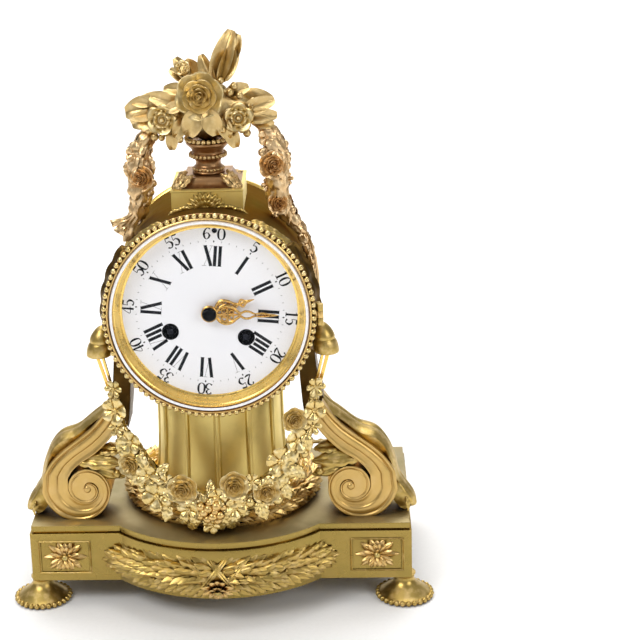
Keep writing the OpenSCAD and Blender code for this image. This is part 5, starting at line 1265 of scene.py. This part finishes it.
def makeConsoleLeaves(side, name):
    steps, cols = 56, 19
    outer = smoothLine(consoleLeaf["outerPath"], steps)
    inner = smoothLine(consoleLeaf["innerPath"], steps)
    points = []
    for i, (x, z) in enumerate(outer):
        u = i / (steps - 1)
        (ax, az), (bx, bz) = outer[max(i - 1, 0)], outer[min(i + 1, steps - 1)]
        along = Vector((bx - ax, 0, bz - az)).normalized()
        out = Vector((-along.z, 0, along.x))
        lobes = 1 - 0.16 * abs(math.cos(u * math.pi * 4.5)) ** 3
        half = consoleLeaf["width"] / 2 * (0.62 + 0.38 * math.sin(math.pi * min(1, u * 0.9 + 0.12))) * lobes
        ribs = 1.0 if u > 0.72 else 0.45
        for j in range(cols):
            v = 2 * j / (cols - 1) - 1
            crown = -2.6 * v * v - 1.2 * math.exp(-(v * 7) ** 2) - ribs * 0.8 * abs(math.sin(v * math.pi * 3.5))
            crown -= 2.4 * math.exp(-((u - 0.27) / 0.07) ** 2) + 1.0 * math.exp(-((u - 0.66) / 0.06) ** 2)
            q = Vector((x, consoleLeaf["y"] + v * half, z)) + out * crown
            points.append((side * q.x, q.y, q.z))
        for v in (0.95, -0.95):
            points.append((side * inner[i][0], consoleLeaf["y"] + v * half * 0.9, inner[i][1]))
    faces = gridFaces(steps, cols + 2, around=True)
    last = (steps - 1) * (cols + 2)
    faces += [tuple(range(cols + 2)), tuple(last + k for k in range(cols + 2))]
    makePiece(name + "OuterLeaf", [(points, faces)], gilt["agedGilt"], smooth=60)
    # Broad acanthus that springs inwards from under the strip, and a fan of small leaves on the volute's shoulder
    leaves = []
    for place, direction, facing, size in consoleLeaf["acanthus"]:
        place, facing, direction = ((side * q[0], q[1], q[2]) for q in (place, facing, direction))
        leaves.append(spot(place, facing, direction, size))
    for k in range(-2, 3):
        leaves.append(spot((side * 109.0, -30 + 4.2 * k, 60.4), (side * 0.9, 0.25 * k, 0.25),
                           (side * 0.28, 0.15 * k, -1), (7, 8.6, 8)))
    spread(name + "Acanthus", bigLeafUnit, leaves, gilt["agedGilt"], vary=0.05, seed=7)
    tip = lathed([(0, -2.6), (1.4, -2.2), (2.3, -1.0), (2.6, 0.4), (2.1, 1.9), (1.0, 2.8), (0, 3.0)], 18,
                 (side * 58.6, -42.5, 78.2))
    makePiece(name + "Tip", [tip], gilt["agedGilt"])
    # Web from the console up to the drum
    web = consoleLeaf["web"]
    n = len(web)
    midX, midZ = sum(q[0] for q in web) / n, sum(q[1] for q in web) / n
    points = []
    for y, share in ((-34.4, 0.93), (-35, 0.99), (-34, 1.0), (-12, 1.0), (-11, 0.99), (-11.4, 0.93)):
        points += [(side * (midX + (x - midX) * share), y, midZ + (z - midZ) * share) for x, z in web]
    faces = gridFaces(6, n, around=True) + [tuple(range(n)), tuple(range(5 * n, 6 * n))]
    makePiece(name + "Web", [(points, faces)], gilt["shadowGilt"])


for side, name, node in ((-1, "leftConsole", "console_left"), (1, "rightConsole", "console_right")):
    makeConsole(side, name, (node,))
    makeConsoleLeaves(side, name)
print("consoles made")


def tubeAlong(line, radii, sides=14, lumps=0.0, seed=0, count=40):
    path = [Vector(p) for p in smoothLine(line, count)]
    sizes = smoothSizes(radii, count)
    points = []
    side = Vector((0, 1, 0))
    for i, p in enumerate(path):
        ahead = (path[min(i + 1, count - 1)] - path[max(i - 1, 0)]).normalized()
        side = (side - ahead * side.dot(ahead)).normalized()
        other = ahead.cross(side)
        for a in turns(sides):
            out = side * math.cos(a) + other * math.sin(a)
            bump = 1 + lumps * noise.noise((p + out * sizes[i]) * 0.35 + Vector((seed, 0, 0)))
            points.append(p + out * sizes[i] * bump)
    n = len(points)
    faces = gridFaces(count, sides, around=True)
    points += [path[0], path[-1]]
    faces += [(j, (j + 1) % sides, n) for j in range(sides)]
    faces += [(n - sides + j, n - sides + (j + 1) % sides, n + 1) for j in range(sides)]
    return points, faces


# Bosses at the drum's sides, with the thin strap that hangs from each and a leaf above
boss = {
    "at": (64.6, -46.0, 153.0),
    "profile": [
        (0, 3.4), (4.2, 3.2), (5.4, 1.8), (6.0, 0.3), (6.8, 0.0), (7.2, 1.2), (7.3, 3.6), (7.0, 6.0), (6.5, 7.6),
        (5.9, 8.5), (6.3, 9.3), (6.2, 10.8), (5.5, 13.0), (4.1, 15.4), (2.4, 17.3), (0, 18.3),
    ],
}


def makeBoss(side, name, node):
    x, y, z = boss["at"]
    points, faces = lathed(smoothProfile(boss["profile"]), 40, (side * x, y, z))
    cap = ([(q[0] - side * 0.16 * (q[2] - z), q[1], q[2]) for q in points], faces)      # it leans in over the drum
    block = tubeAlong([(side * (x - a), y + b, z + c) for a, b, c in ((2, 2, 8), (6, 4, 10), (9, 6, 12))],
                      [4.6, 4.8, 5.0], 16, count=8)
    makePiece(name + "Boss", [cap, block], gilt["agedGilt"], replaces=(node,))
    straps = []
    for start, end, wide in (((x + 1.2, y - 2.2, z + 2.0), (x - 4.4, -47.8, 134.5), 2.0),
                             ((x - 2.0, y - 2.4, z + 2.0), (x - 6.2, -47.2, 135.5), 1.7)):
        line = [Vector(start).lerp(Vector(end), k / 9) for k in range(10)]
        straps.append(ribbonShape([Vector((side * q.x, q.y, q.z)) for q in line],
                                  [Vector((side * 0.5, -0.87, 0))] * 10, wide, 0.4))
    makePiece(name + "Straps", straps, gilt["brightGilt"])
    # Lobed leaf that climbs the drum beside the bead row: its carved side first, then its back on the drum
    rows, cols = 40, 11
    points = []
    for layer in (0, 1):
        for i in range(rows):
            u = i / (rows - 1)
            a = math.radians(-18 + 58 * u)
            wide = 0.35 + 0.65 * math.sin(math.pi * min(1, 0.12 + u * 0.86))
            wide *= 1 + 0.16 * math.sin(u * math.pi * 10)
            for j in range(cols):
                v = 2 * j / (cols - 1) - 1
                r = clock["drumR"] + 0.05
                if not layer and j not in (0, cols - 1) and i not in (0, rows - 1):
                    r = clock["drumR"] + 0.4 + (5.0 * (1 - abs(v) ** 1.6) * (1 - 0.25 * u) + 0.7 * math.cos(v * 9)
                                                + 1.0 * abs(math.sin(u * math.pi * 5)) * (1 - v * v) - 0.3)
                points.append((side * r * math.cos(a), -46.0 + v * 8.0 * wide, clock["drumZ"] + r * math.sin(a)))
    faces = gridFaces(rows, cols)
    faces += [tuple(q + rows * cols for q in reversed(f)) for f in faces]
    makePiece(name + "DrumLeaf", [(points, faces)], gilt["shadowGilt"], smooth=60)


for side, name, node in ((-1, "left", "drum_leaf_left"), (1, "right", "drum_leaf_right")):
    makeBoss(side, name, node)
print("bosses made")

# Plinth and urn
crown = {
    "plinthW": 40.0, "plinthD": 43.0, "plinthTop": 246.0,
    "urn": [
        (0, 251.0), (8.8, 251.0), (9.2, 251.6), (9.0, 252.4), (8.2, 252.9), (8.7, 253.6), (8.5, 254.4), (7.4, 255.2),
        (7.0, 256.6), (7.2, 258.2), (8.4, 259.6), (9.6, 260.4), (10.0, 261.4), (9.4, 262.2), (8.6, 262.8),
        (8.8, 264.0), (10.2, 265.8), (11.8, 267.2), (12.6, 268.4), (12.4, 269.4), (11.0, 269.6), (0, 269.6),
    ],
    "beads": [(261.3, 9.9, 26, (1.15, 1.3, 1.1)), (253.4, 8.3, 24, (1.0, 1.0, 0.9))],
}


def makeCrown():
    y = clock["crownY"]
    w, d, top = crown["plinthW"] / 2, crown["plinthD"] / 2, crown["plinthTop"]
    # Half width, half depth and height of each level; the lowest follows the drum
    levels = [(w, d, 230.0), (w, d, 244.6), (w + 0.4, d + 0.4, 245.0), (w + 0.4, d + 0.4, top), (18.6, 19.9, 246.3),
              (16.0, 17.0, 247.0), (14.2, 14.9, 248.4), (13.2, 13.6, 250.0), (13.0, 13.2, 251.0), (0, 0, 251.0)]
    rows = []
    corners = ((-1, -1), (1, -1), (1, 1), (-1, 1))
    per = 12        # points along each side, so that the lowest edge lies on the drum
    for halfW, halfD, z in levels:
        for k in range(4):
            (ax, ay), (bx, by) = corners[k], corners[(k + 1) % 4]
            for i in range(per):
                f = i / per
                px, py = (ax + (bx - ax) * f) * halfW, (ay + (by - ay) * f) * halfD
                rows.append((px, y + py, clock["drumZ"] + drumHalf(px) + 0.03 if z <= 230.0 else z))
    block = makePiece("plinthBlock", [(rows, gridFaces(len(levels), 4 * per, around=True))], gilt["columnGilt"],
                      replaces=("top_plinth",), smooth=30, closed=False)
    addFinish(block, gilt["urnGilt"], lambda face: face.center.z > 0.2464)      # the hollow has gone red and brown
    makePiece("urnTurned", [lathed(smoothProfile(crown["urn"]), 64, (0, y, 0))], gilt["urnGilt"],
              replaces=("urn",), smooth=30)
    beads = [bead for z, r, count, size in crown["beads"] for bead in beadRow((0, y, z), r, count, size)]
    spread("urnBeads", beadUnit, beads, gilt["redGilt"], vary=0.05, seed=8)
    # Shell on the plinth's front, between two low leaves, and a leaf up each corner of the hollow
    leaves, cornerLeaves = [], []
    for k in range(11):
        a = math.radians(-84 + 16.8 * k)
        leaves.append(spot((-1, y - 22.0, 233.6), (0, -1, -0.12), (math.sin(a), -0.1, math.cos(a)), (8.4, 11.4, 9)))
    for ax, ay in corners:
        z, facingZ, rise, size = (245.6, 0.75, 0.85, (10.5, 13.5, 12)) if ay < 0 else (244.8, 1.6, 0.42, (9, 9, 8))
        for turn in (-0.34, 0.0, 0.34):
            cornerLeaves.append(spot((ax * 18.4, y + ay * 19.6, z), (ax * (0.6 + turn), ay * (0.6 - turn), facingZ),
                                     (-ax * (0.58 - turn), -ay * (0.58 + turn), rise), size))
    for side in (-1, 1):
        for x, z, turn in ((7, 234.6, 0.1), (12, 235.2, -0.15), (17, 234.4, -0.35)):
            leaves.append(spot((side * (x - 3), y - 22.0, z), (0, -1, 0),
                               (side * math.cos(turn), -0.15, math.sin(turn)), (8, 9, 7)))
        for k in range(3):
            a = math.radians(64 - 9 * k)
            r = clock["drumR"] + 0.6
            leaves.append(spot((side * r * math.cos(a), -50 + 3 * k, clock["drumZ"] + r * math.sin(a)),
                               (side * math.cos(a), -0.3, math.sin(a)), (side * math.sin(a), 0.1, -math.cos(a)),
                               (11, 13, 9)))
    spread("cornerLeaves", bigLeafUnit, cornerLeaves, gilt["redGilt"], vary=0.05, seed=11)
    spread("plinthLeaves", bigLeafUnit, leaves, gilt["agedGilt"], vary=0.05, seed=10)


makeCrown()
print("plinth and urn made")

# Bouquet: places follow the photograph, depths are the builder's; x and y are from the crown's axis. Roses, open
# flowers and buds hold their radius last, a leaf holds place, direction, facing and (width, length, height)
bouquet = {
    "roses": [
        ((-2.5, -13.2, 297.2), (0, -1, 0.12), 13.8), ((-14, 8.5, 287), (-0.4, 1, 0.2), 9.0),
        ((13, 8.5, 288), (0.4, 1, 0.2), 9.0), ((0, 9.5, 299), (0, 1, 0.4), 9.0),
    ],
    "open": [
        ((-24.0, -10.2, 283.7), (-0.15, -1, 0.05), 9.4), ((18.4, -11.4, 283.9), (0.15, -1, 0.1), 8.8),
        ((-11.8, -5.5, 311.6), (-0.3, -1, 0.5), 4.6), ((27.5, -5.0, 289.5), (0.5, -1, 0.1), 4.6),
        ((-18, 9.5, 278), (-0.3, 1, 0), 6.5), ((17, 9.5, 279), (0.3, 1, 0), 6.5),
    ],
    "leaves": [
        ((6.6, -4.4, 303.6), (0.33, 0.04, 1), (-0.1, -1, 0.1), (15.2, 29.5, 19.2)),
        ((8.6, -6.6, 304.0), (0.50, 0, 1), (0.35, -1, 0.1), (12, 20, 16)),
        ((12.4, 0.4, 313.0), (0.50, 0, 1), (0.2, -1, 0.1), (11.2, 17, 14.4)),
        ((5.0, -5.0, 303.6), (-0.50, 0, 1), (-0.2, -1, 0.1), (10.4, 16.5, 12.8)),
        ((10.5, 3.0, 302.0), (0.25, 0.25, 1), (0, 1, 0.1), (14.4, 26, 17.6)),
        ((-8.0, -5.0, 304.6), (-0.60, 0, 1), (0.1, -1, 0.2), (9.6, 14.5, 11.2)),
        ((-8.6, -5.0, 304.0), (-0.95, 0, 0.65), (0.1, -1, 0.3), (8.8, 12.5, 9.6)),
        ((-10.0, -6.6, 307.0), (0.05, -0.1, 1), (0, -1, 0.1), (6.4, 7.5, 7.2)),
        ((-13.6, -8.2, 291.0), (-1, 0.1, 0.32), (0.1, -1, 0.3), (12, 18, 12.8)),
        ((-10.0, -7.2, 298.5), (-1, 0.1, 0.12), (0.1, -1, 0.6), (9.6, 13, 10.4)),
        ((-26.0, -4.6, 289.6), (-1, -0.05, -0.10), (0, -1, 0.4), (18.4, 19, 14.4)),
        ((-27.0, -6.0, 286.0), (-1, -0.05, -0.36), (0, -1, 0.1), (13.6, 15.5, 12.8)),
        ((-31.0, -5.2, 291.5), (-1, 0, 0.16), (0.1, -1, 0.5), (7.2, 10, 8)),
        ((21.0, -6.6, 286.5), (1, 0.1, 0.34), (0, -1, 0.3), (12, 19, 12.8)),
        ((22.5, -7.4, 283.6), (1, 0.05, 0.03), (0, -1, 0.2), (11.2, 17.5, 12)),
        ((27.0, -6.0, 282.0), (1, 0, -0.35), (0, -1, 0.2), (9.6, 11.5, 9.6)),
        ((12.4, -5.6, 296.5), (1, 0.1, 0.30), (0, -1, 0.4), (10.4, 13, 11.2)),
        ((-4.5, -13.6, 289.6), (-0.32, -0.12, -1), (0, -1, 0.05), (14.4, 15.5, 12)),
        ((2.0, -13.8, 289.4), (0.30, -0.12, -1), (0, -1, 0.05), (14.4, 15.5, 12)),
        ((-11.5, -11.6, 284.5), (-0.5, -0.2, -1), (0.1, -1, 0.1), (10.4, 12, 9.6)),
        ((9.8, -12.2, 284.5), (0.25, -0.2, -1), (-0.1, -1, 0.1), (10.4, 12.5, 9.6)),
        ((-18.6, -9.8, 277.4), (-0.05, -0.1, -1), (0, -1, 0.1), (8.8, 11, 9.6)),
        ((13.4, -10.6, 279.0), (0.28, -0.12, -1), (0, -1, 0.1), (10.4, 12.5, 9.6)),
        ((-12.5, -12.6, 292.6), (-1, -0.1, -0.3), (0, -1, 0.2), (8.8, 10, 9.6)),
        ((-4, 6, 302), (-0.5, 0.4, 1), (0, 1, 0.2), (12.8, 15, 9.6)),
        ((-18, 5, 290), (-1, 0.2, 0.1), (0, 1, 0.3), (16, 22, 9.6)),
        ((18, 5, 290), (1, 0.2, 0.1), (0, 1, 0.3), (16, 19, 9.6)),
        ((0, 8, 282), (0.1, 0.5, -0.8), (0, 1, 0.2), (14.4, 13, 9.6)),
        ((22, 6, 282), (0.7, 0.3, -0.3), (0, 1, 0.2), (12.8, 12, 9.6)),
        ((-22, 6, 282), (-0.7, 0.3, -0.3), (0, 1, 0.2), (12.8, 12, 9.6)),
    ],
    "buds": [
        ((-28.8, -7.4, 273.6), 2.3), ((-24.8, -8.6, 273.4), 2.1), ((-31.6, -6.6, 277.4), 2.5),
        ((-14.4, -11.0, 272.6), 2.0), ((22.8, -8, 274.6), 2.2), ((20.0, -9, 277.0), 2.2), ((16.5, -7.4, 301.2), 2.2),
        ((14.2, -8.6, 298.0), 2.3), ((19.4, -8, 296.0), 2.0), ((9.4, -8.5, 304.6), 1.9), ((-17.0, -11.5, 277.0), 2.0),
        ((9.6, -13.0, 278.0), 2.0), ((-16.2, -10.6, 286.8), 2.0), ((-34.0, -5, 280), 2.2),
    ],
    "lip": {"r": 11.9, "z": 270.6, "count": 26, "size": 1.35},
}


def makeBouquet():
    finish = gilt["posyGilt"]

    def at(q):
        return (q[0], clock["crownY"] + q[1], q[2])

    roses = [spot(at(place), facing, (0.3, 0, 1), (radius, radius, radius * 0.9))
             for place, facing, radius in bouquet["roses"]]
    blossoms = [spot(at(place), facing, (math.sin(k), 0, math.cos(k)), radius)
                for k, (place, facing, radius) in enumerate(bouquet["open"])]
    leaves = [spot(at(place), facing, direction, size) for place, direction, facing, size in bouquet["leaves"]]
    buds = [spot(at(place), (0, -1, 0), (0, 0, 1), (r, r * 1.1, r)) for place, r in bouquet["buds"]]
    lip = bouquet["lip"]
    buds += [spot(at((lip["r"] * math.cos(a), lip["r"] * math.sin(a), lip["z"])), (0, 0, 1), (0, 1, 0), lip["size"])
             for a in turns(lip["count"])]
    core = []
    rows, cols = 26, 44
    for i in range(rows + 1):
        a = math.pi * i / rows
        for b in turns(cols):
            d = Vector((math.sin(a) * math.cos(b), math.sin(a) * math.sin(b), math.cos(a)))
            low = max(0.0, -d.z)
            q = Vector((d.x * (25.5 - 14 * low), d.y * (10.0 - 1.5 * low), 285.0 + d.z * (18 if d.z > 0 else 15.6)))
            if d.z > 0.3:
                q.x *= 1 - 0.45 * (d.z - 0.3)
            core.append(at(q + d * 2.2 * noise.noise(d * 4.6)))
    makePiece("bouquetCore", [(core, gridFaces(rows + 1, cols, around=True))], finish,
              replaces=("bouquet",), smooth=70)
    spread("bouquetRoses", roseUnit, roses, gilt["roseGilt"], vary=0.02, seed=31)
    spread("bouquetBlossoms", ringFlowerUnit, blossoms, gilt["roseGilt"], vary=0.02, seed=32)
    spread("bouquetLeaves", broadLeafUnit, leaves, finish, vary=0.03, seed=33)
    spread("bouquetBuds", beadUnit, buds, finish, vary=0.06, seed=34)


makeBouquet()
print("bouquet made")

# Garlands and swags: a lumpy stem, husks or leaves all round it, and flowers where the photograph has them
garlands = {
    "leftGarland": {
        "node": "top_garland_left", "finish": "garlandGilt", "leaf": 12.5, "pitch": 6.4, "seed": 41,
        "line": [
            (-27, -13.5, 279), (-33.5, -14.5, 272), (-37.6, -15.5, 262), (-38.6, -16, 250), (-39, -16, 238),
            (-42, -15, 228.5),
        ],
        "radii": [4.0, 4.8, 6.0, 6.6, 5.2, 3.0], "roses": [((-38.0, -21.5, 249.8), 8.0)],
        "open": [((-41.5, -19.5, 263.0), 5.0)], "small": [((-36.5, -19.0, 240.4), 4.0)],
        "buds": [
            ((-44.0, -18, 241.6), 2.7), ((-33.6, -19, 241), 2.6), ((-36.2, -18.6, 235), 2.9),
            ((-43.2, -17, 236.6), 2.8), ((-31.8, -18.4, 246), 2.3), ((-39.6, -19.4, 234.6), 2.4),
        ],
        "leaves": [
            ((-35, -17, 273), (-0.5, -0.2, -1), 12), ((-40, -18, 270), (-0.35, -0.1, -1), 12),
            ((-34, -18, 262), (0.25, -0.2, -1), 11), ((-45, -15, 258), (-0.2, 0, -1), 9),
        ],
        "ribbon": [
            (
                [
                    (-42.6, -17.5, 239), (-40.6, -19, 234.5), (-40.6, -19.6, 230), (-43, -19.4, 225.5),
                    (-46, -19, 221), (-47.2, -18.4, 217), (-46.8, -18, 212.6),
                ],
                [3.0, 4.2, 4.8, 5.0, 5.4, 6.2, 7.4],
            ),
            (
                [(-43.2, -18.4, 228.6), (-46.6, -19.4, 226.4), (-51, -19.4, 224.4), (-56.6, -18.6, 222.8)],
                [3.2, 3.0, 3.4, 4.4],
            ),
            ([(-46.5, -18.6, 224), (-49.4, -19.2, 221.4), (-52.8, -18.8, 217.2)], [4.0, 5.4, 6.6]),
        ],
    },
    "rightGarland": {
        "node": "top_garland_right", "finish": "garlandGilt", "leaf": 12.5, "pitch": 6.4, "seed": 42,
        "line": [
            (27, -13.5, 281), (33.0, -14.5, 275), (37.4, -15.5, 265), (38.2, -16, 252), (38.8, -16, 239),
            (43.0, -15, 228), (49.4, -14.8, 218), (55.0, -14.8, 205), (57.4, -14.8, 195),
        ],
        "radii": [4.6, 5.2, 6.2, 6.6, 5.6, 4.0, 2.6, 1.8, 1.2],
        "roses": [((36.6, -21.8, 255.6), 8.6), ((39.4, -20.8, 233.6), 6.8)], "open": [((33.6, -19.5, 271.0), 5.4)],
        "small": [((44.2, -17.5, 246.5), 4.0), ((33.5, -18.5, 243.5), 4.2)],
        "buds": [
            ((44.4, -17, 254), 2.4), ((31, -18, 262), 2.5), ((43, -16, 266), 2.6), ((46.4, -17, 228), 2.4),
            ((36.4, -18, 226), 2.2), ((49.6, -16.4, 221), 2.0),
        ],
        "leaves": [
            ((36, -18, 276), (0.45, -0.2, -1), 12), ((33, -19, 266), (0.1, -0.2, -1), 11),
            ((42, -17, 264), (0.35, -0.1, -1), 11), ((40, -18, 246), (0.25, -0.2, -1), 11),
            ((43, -16.5, 228), (0.75, -0.1, -1), 10), ((48, -16, 221), (0.7, 0, -1), 9),
            ((51.5, -15.8, 213), (0.5, 0, -1), 9),
        ],
        "ribbon": [
            (
                [(50, -16.6, 220), (54.8, -16.6, 212), (58.0, -16.2, 200), (59.6, -15.6, 188), (59.8, -15.2, 178)],
                [2.6, 2.8, 2.8, 2.6, 2.2],
            ),
        ],
    },
    "leftSwag": {
        "node": "swag_left", "finish": "swagGilt", "grow": 1.2, "leaf": 9.4, "pitch": 3.4, "seed": 43,
        "line": [
            (-57.2, -49, 134), (-56.4, -50, 123), (-54.5, -51, 112), (-48.6, -53, 101), (-42.5, -55.5, 91),
            (-34.5, -59, 80.5), (-21, -62, 73),
        ],
        "radii": [2.2, 2.6, 3.8, 5.4, 6.2, 6.8, 7.4],
        "roses": [((-48.4, -60.0, 91.4), 6.4), ((-18.5, -69.5, 80.0), 7.8)],
        "open": [
            ((-56.4, -54.6, 122.4), 6.6), ((-48.2, -59.2, 104.8), 6.0), ((-33.6, -66.6, 74.6), 7.0),
            ((-38.6, -64.0, 85.6), 6.0),
        ],
        "small": [((-56.6, -53.0, 135.0), 4.6), ((-55.8, -55.0, 112.0), 4.4), ((-27.5, -67.5, 83.5), 4.6)],
        "buds": [((-42, -59.6, 98), 2.2), ((-28, -68, 72), 2.6), ((-42, -62.5, 78), 2.4), ((-52.6, -57, 97.6), 2.2)],
        "leaves": [
            ((-52, -57, 108), (-0.5, -0.2, -1), 11), ((-44, -61, 99), (0.6, -0.2, -0.9), 12),
            ((-42, -62, 88), (-0.8, -0.2, -0.8), 11), ((-30, -67, 79), (0.9, -0.3, -0.5), 12),
            ((-27, -67.5, 70), (-0.3, -0.3, -1), 11), ((-33, -65, 88), (0.7, -0.2, 0.7), 9),
        ],
    },
    "rightSwag": {
        "node": "swag_right", "finish": "swagGilt", "grow": 1.2, "leaf": 9.4, "pitch": 3.4, "seed": 44,
        "line": [
            (57.2, -49, 134), (56.4, -50, 123), (53.5, -51, 111), (47.2, -53, 101), (41.5, -55.5, 91.5),
            (33.5, -59, 81), (21, -62, 73),
        ],
        "radii": [2.2, 2.8, 4.0, 5.4, 6.2, 6.8, 7.4],
        "roses": [((45.6, -58.6, 117.0), 6.2), ((10.9, -70.5, 82.5), 7.2), ((28.8, -67.5, 77.4), 6.8)],
        "open": [((47.2, -59.2, 104.6), 6.0), ((37.4, -63.4, 93.6), 7.4), ((56.8, -54.4, 121.0), 5.6)],
        "small": [((58.0, -53.5, 134.6), 4.8), ((55.6, -55.4, 111.6), 4.6), ((21.0, -69.4, 84.0), 4.4)],
        "buds": [((50.6, -57, 96), 2.3), ((43, -60.5, 85), 2.4), ((35, -64.5, 71), 2.6), ((19.5, -69, 71.5), 2.4)],
        "leaves": [
            ((51, -57.5, 108), (0.4, -0.2, -1), 11), ((44, -60.5, 98.5), (-0.6, -0.2, -0.9), 12),
            ((44, -61, 90), (0.9, -0.2, -0.8), 11), ((33, -66.5, 84), (-0.8, -0.3, -0.4), 11),
            ((24, -69, 72), (0.5, -0.3, -1), 12), ((38, -62.5, 80), (0.5, -0.2, -1), 11),
        ],
    },
}


def makeGarland(name):
    look = garlands[name]
    rng = random.Random(look["seed"])
    finish = gilt[look["finish"]]
    stem = tubeAlong(look["line"], [r * 0.8 for r in look["radii"]], 16, 0.35, look["seed"], 48)
    makePiece(name + "Stem", [stem], finish, replaces=(look["node"],), smooth=70)
    stations = 160
    path = [Vector(q) for q in smoothLine(look["line"], stations)]
    sizes = smoothSizes(look["radii"], stations)
    sprigs, walked, last, turn = [], 0.0, path[0], 0.0
    for i, q in enumerate(path):
        walked += (q - last).length
        last = q
        if walked < look["pitch"] or i < 2:
            continue
        walked = 0.0
        ahead = (path[min(i + 1, stations - 1)] - path[i - 1]).normalized()
        flat = Vector((0, -1, 0))
        flat = (flat - ahead * flat.dot(ahead)).normalized()
        other = ahead.cross(flat)
        turn += 0.55        # each whorl of six is turned from the one before
        for k in range(6):
            a = turn + k * math.pi / 3 + rng.uniform(-0.2, 0.2)
            out = flat * math.cos(a) + other * math.sin(a)
            size = look["leaf"] * rng.uniform(0.85, 1.15) * min(1.0, 0.35 + sizes[i] / 10)
            along = ahead + out * 0.42 + flat.cross(out) * rng.uniform(-0.3, 0.3)
            sprigs.append(spot(q + out * sizes[i] * 0.62, out - ahead * 0.3, along, (size * 1.1, size, size)))
    spread(name + "Sprigs", sprigUnit, sprigs, finish, vary=0.05, seed=look["seed"])
    lean = Vector((0.006, 0, 0))        # flowers away from the middle face a little outwards
    for kind, unit, label in (("roses", roseUnit, "Roses"), ("open", blossomUnit, "Blossoms"),
                              ("small", smallBlossomUnit, "Florets"), ("buds", beadUnit, "Buds")):
        spots = []
        for k, (place, radius) in enumerate(look[kind]):
            radius *= look.get("grow", 1.0)
            spots.append(spot(place, (place[0] * lean.x, -1, 0.12), (math.sin(k * 2.1), 0, math.cos(k * 2.1)),
                              (radius, radius * (1.12 if kind == "buds" else 1.0), radius * 0.9)))
        worn = gilt["roseGilt"] if kind == "roses" and look["finish"] == "swagGilt" else finish
        spread(name + label, unit, spots, worn, vary=0.02, seed=look["seed"])
    big = [spot(place, (place[0] * 0.01, -1, 0.25), direction, (size * 1.1, size, size))
           for place, direction, size in look["leaves"]]
    spread(name + "Leaves", bigLeafUnit, big, finish, vary=0.03, seed=look["seed"])
    bands = []
    for band, widths in look.get("ribbon", ()):
        way = [Vector(q) for q in smoothLine(band, 18)]
        outward = [Vector((0.3 * math.sin(k * 0.4), -1, 0.3 * math.cos(k * 0.5))) for k in range(18)]
        bands.append(ribbonShape(way, outward, smoothSizes(widths, 18), 0.6))
    if bands:
        makePiece(name + "Ribbon", bands, finish)


for garland in garlands:
    makeGarland(garland)

swagMiddle = {
    "at": (-3.0, -66, 66.5), "spread": (17.0, 10.0), "leaves": 30, "fruit": 13,
    "line": [(-21, -62, 73), (-12, -64, 69), (-2, -65, 66), (9, -64, 69), (21, -62, 73)],
    "radii": [6.4, 7.6, 8.4, 7.6, 6.4],
    "blossoms": [
        ((11.0, -71.0, 69.0), (0.25, -1, 0.1), (0.3, 0, 1), 6.4),
        ((-15.5, -70.5, 68.0), (-0.25, -1, 0.1), (-0.4, 0, 1), 6.4),
        ((1.5, -72.0, 76.0), (0, -1, 0.3), (0, 0, 1), 5.4), ((-3.0, -70.5, 57.6), (0, -1, -0.3), (0, 0, 1), 5.0),
    ],
}


def makeSwagMiddle():
    rng = random.Random(77)
    finish = gilt["swagGilt"]
    x0, y0, z0 = swagMiddle["at"]
    wide, high = swagMiddle["spread"]
    stem = tubeAlong(swagMiddle["line"], swagMiddle["radii"], 18, 0.4, 3, 36)
    makePiece("swagMiddleStem", [stem], finish, replaces=("swag_centre",), smooth=70)
    leaves, fruit = [], []
    for k in range(swagMiddle["leaves"]):
        a = 2 * math.pi * k / swagMiddle["leaves"] + rng.uniform(-0.15, 0.15)
        r = (0.35, 0.65, 0.95)[k % 3]
        out = Vector((math.cos(a) * r * 0.7, -1, math.sin(a) * r * 0.6))
        leaves.append(spot((x0 + math.cos(a) * r * wide, y0 - 5.8 + 4.5 * r * r, z0 + math.sin(a) * r * high), out,
                           (math.cos(a), -0.1, math.sin(a) - 0.2), (10, 9, 9)))
    for k in range(swagMiddle["fruit"]):
        a = 2.4 * k     # about the golden angle, which packs the fruit evenly
        r = math.sqrt((k + 0.5) / swagMiddle["fruit"])
        size = rng.uniform(2.3, 3.2)
        fruit.append(spot((x0 + 1 + math.cos(a) * r * 8, y0 - 7.4 + 2.2 * r * r, z0 + 1.5 + math.sin(a) * r * 7.5),
                          (0, -1, 0), (0, 0, 1), size))
    blossoms = [spot(place, facing, along, size) for place, facing, along, size in swagMiddle["blossoms"]]
    spread("swagMiddleLeaves", bigLeafUnit, leaves, finish, vary=0.06, seed=51)
    spread("swagMiddleFruit", beadUnit, fruit, gilt["laurelGilt"], vary=0.08, seed=52)
    spread("swagMiddleBlossoms", blossomUnit, blossoms, finish, seed=53)


makeSwagMiddle()
print("garlands and swags made")

# Movement: the CAD solids stay, with the finish that each has in such a clock
movementFinish = {
    polishedBrass: [
        "front_plate", "back_plate", "plate_pillars", "dial_pan", "movement_straps", "minute_wheel", "hour_wheel",
        "going_barrel", "strike_barrel", "second_wheel", "centre_wheel", "third_wheel", "escape_wheel", "back_cock",
        "rating_nut", "strike_wheel", "pin_wheel", "count_wheel", "bell_stand", "pendulum_bob",
    ],
    polishedSteel: ["going_mainspring", "strike_mainspring", "winding_clicks", "anchor", "pendulum_rod", "hammer"],
    bluedSteel: ["regulator_arbor", "going_arbor", "strike_arbor"],
    bellMetal: ["bell"],
    dialEnamel: ["dial"],
}
for finish, nodes in movementFinish.items():
    for node in nodes:
        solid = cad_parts[node]
        solid.data.materials.clear()
        solid.data.materials.append(finish)
print("movement finished")

for unit in (beadUnit, berryUnit, laurelUnit, roseUnit, blossomUnit, smallBlossomUnit, ringFlowerUnit, bigLeafUnit,
             broadLeafUnit, sprigUnit, rosettePetalUnit):
    bpy.data.objects.remove(unit)
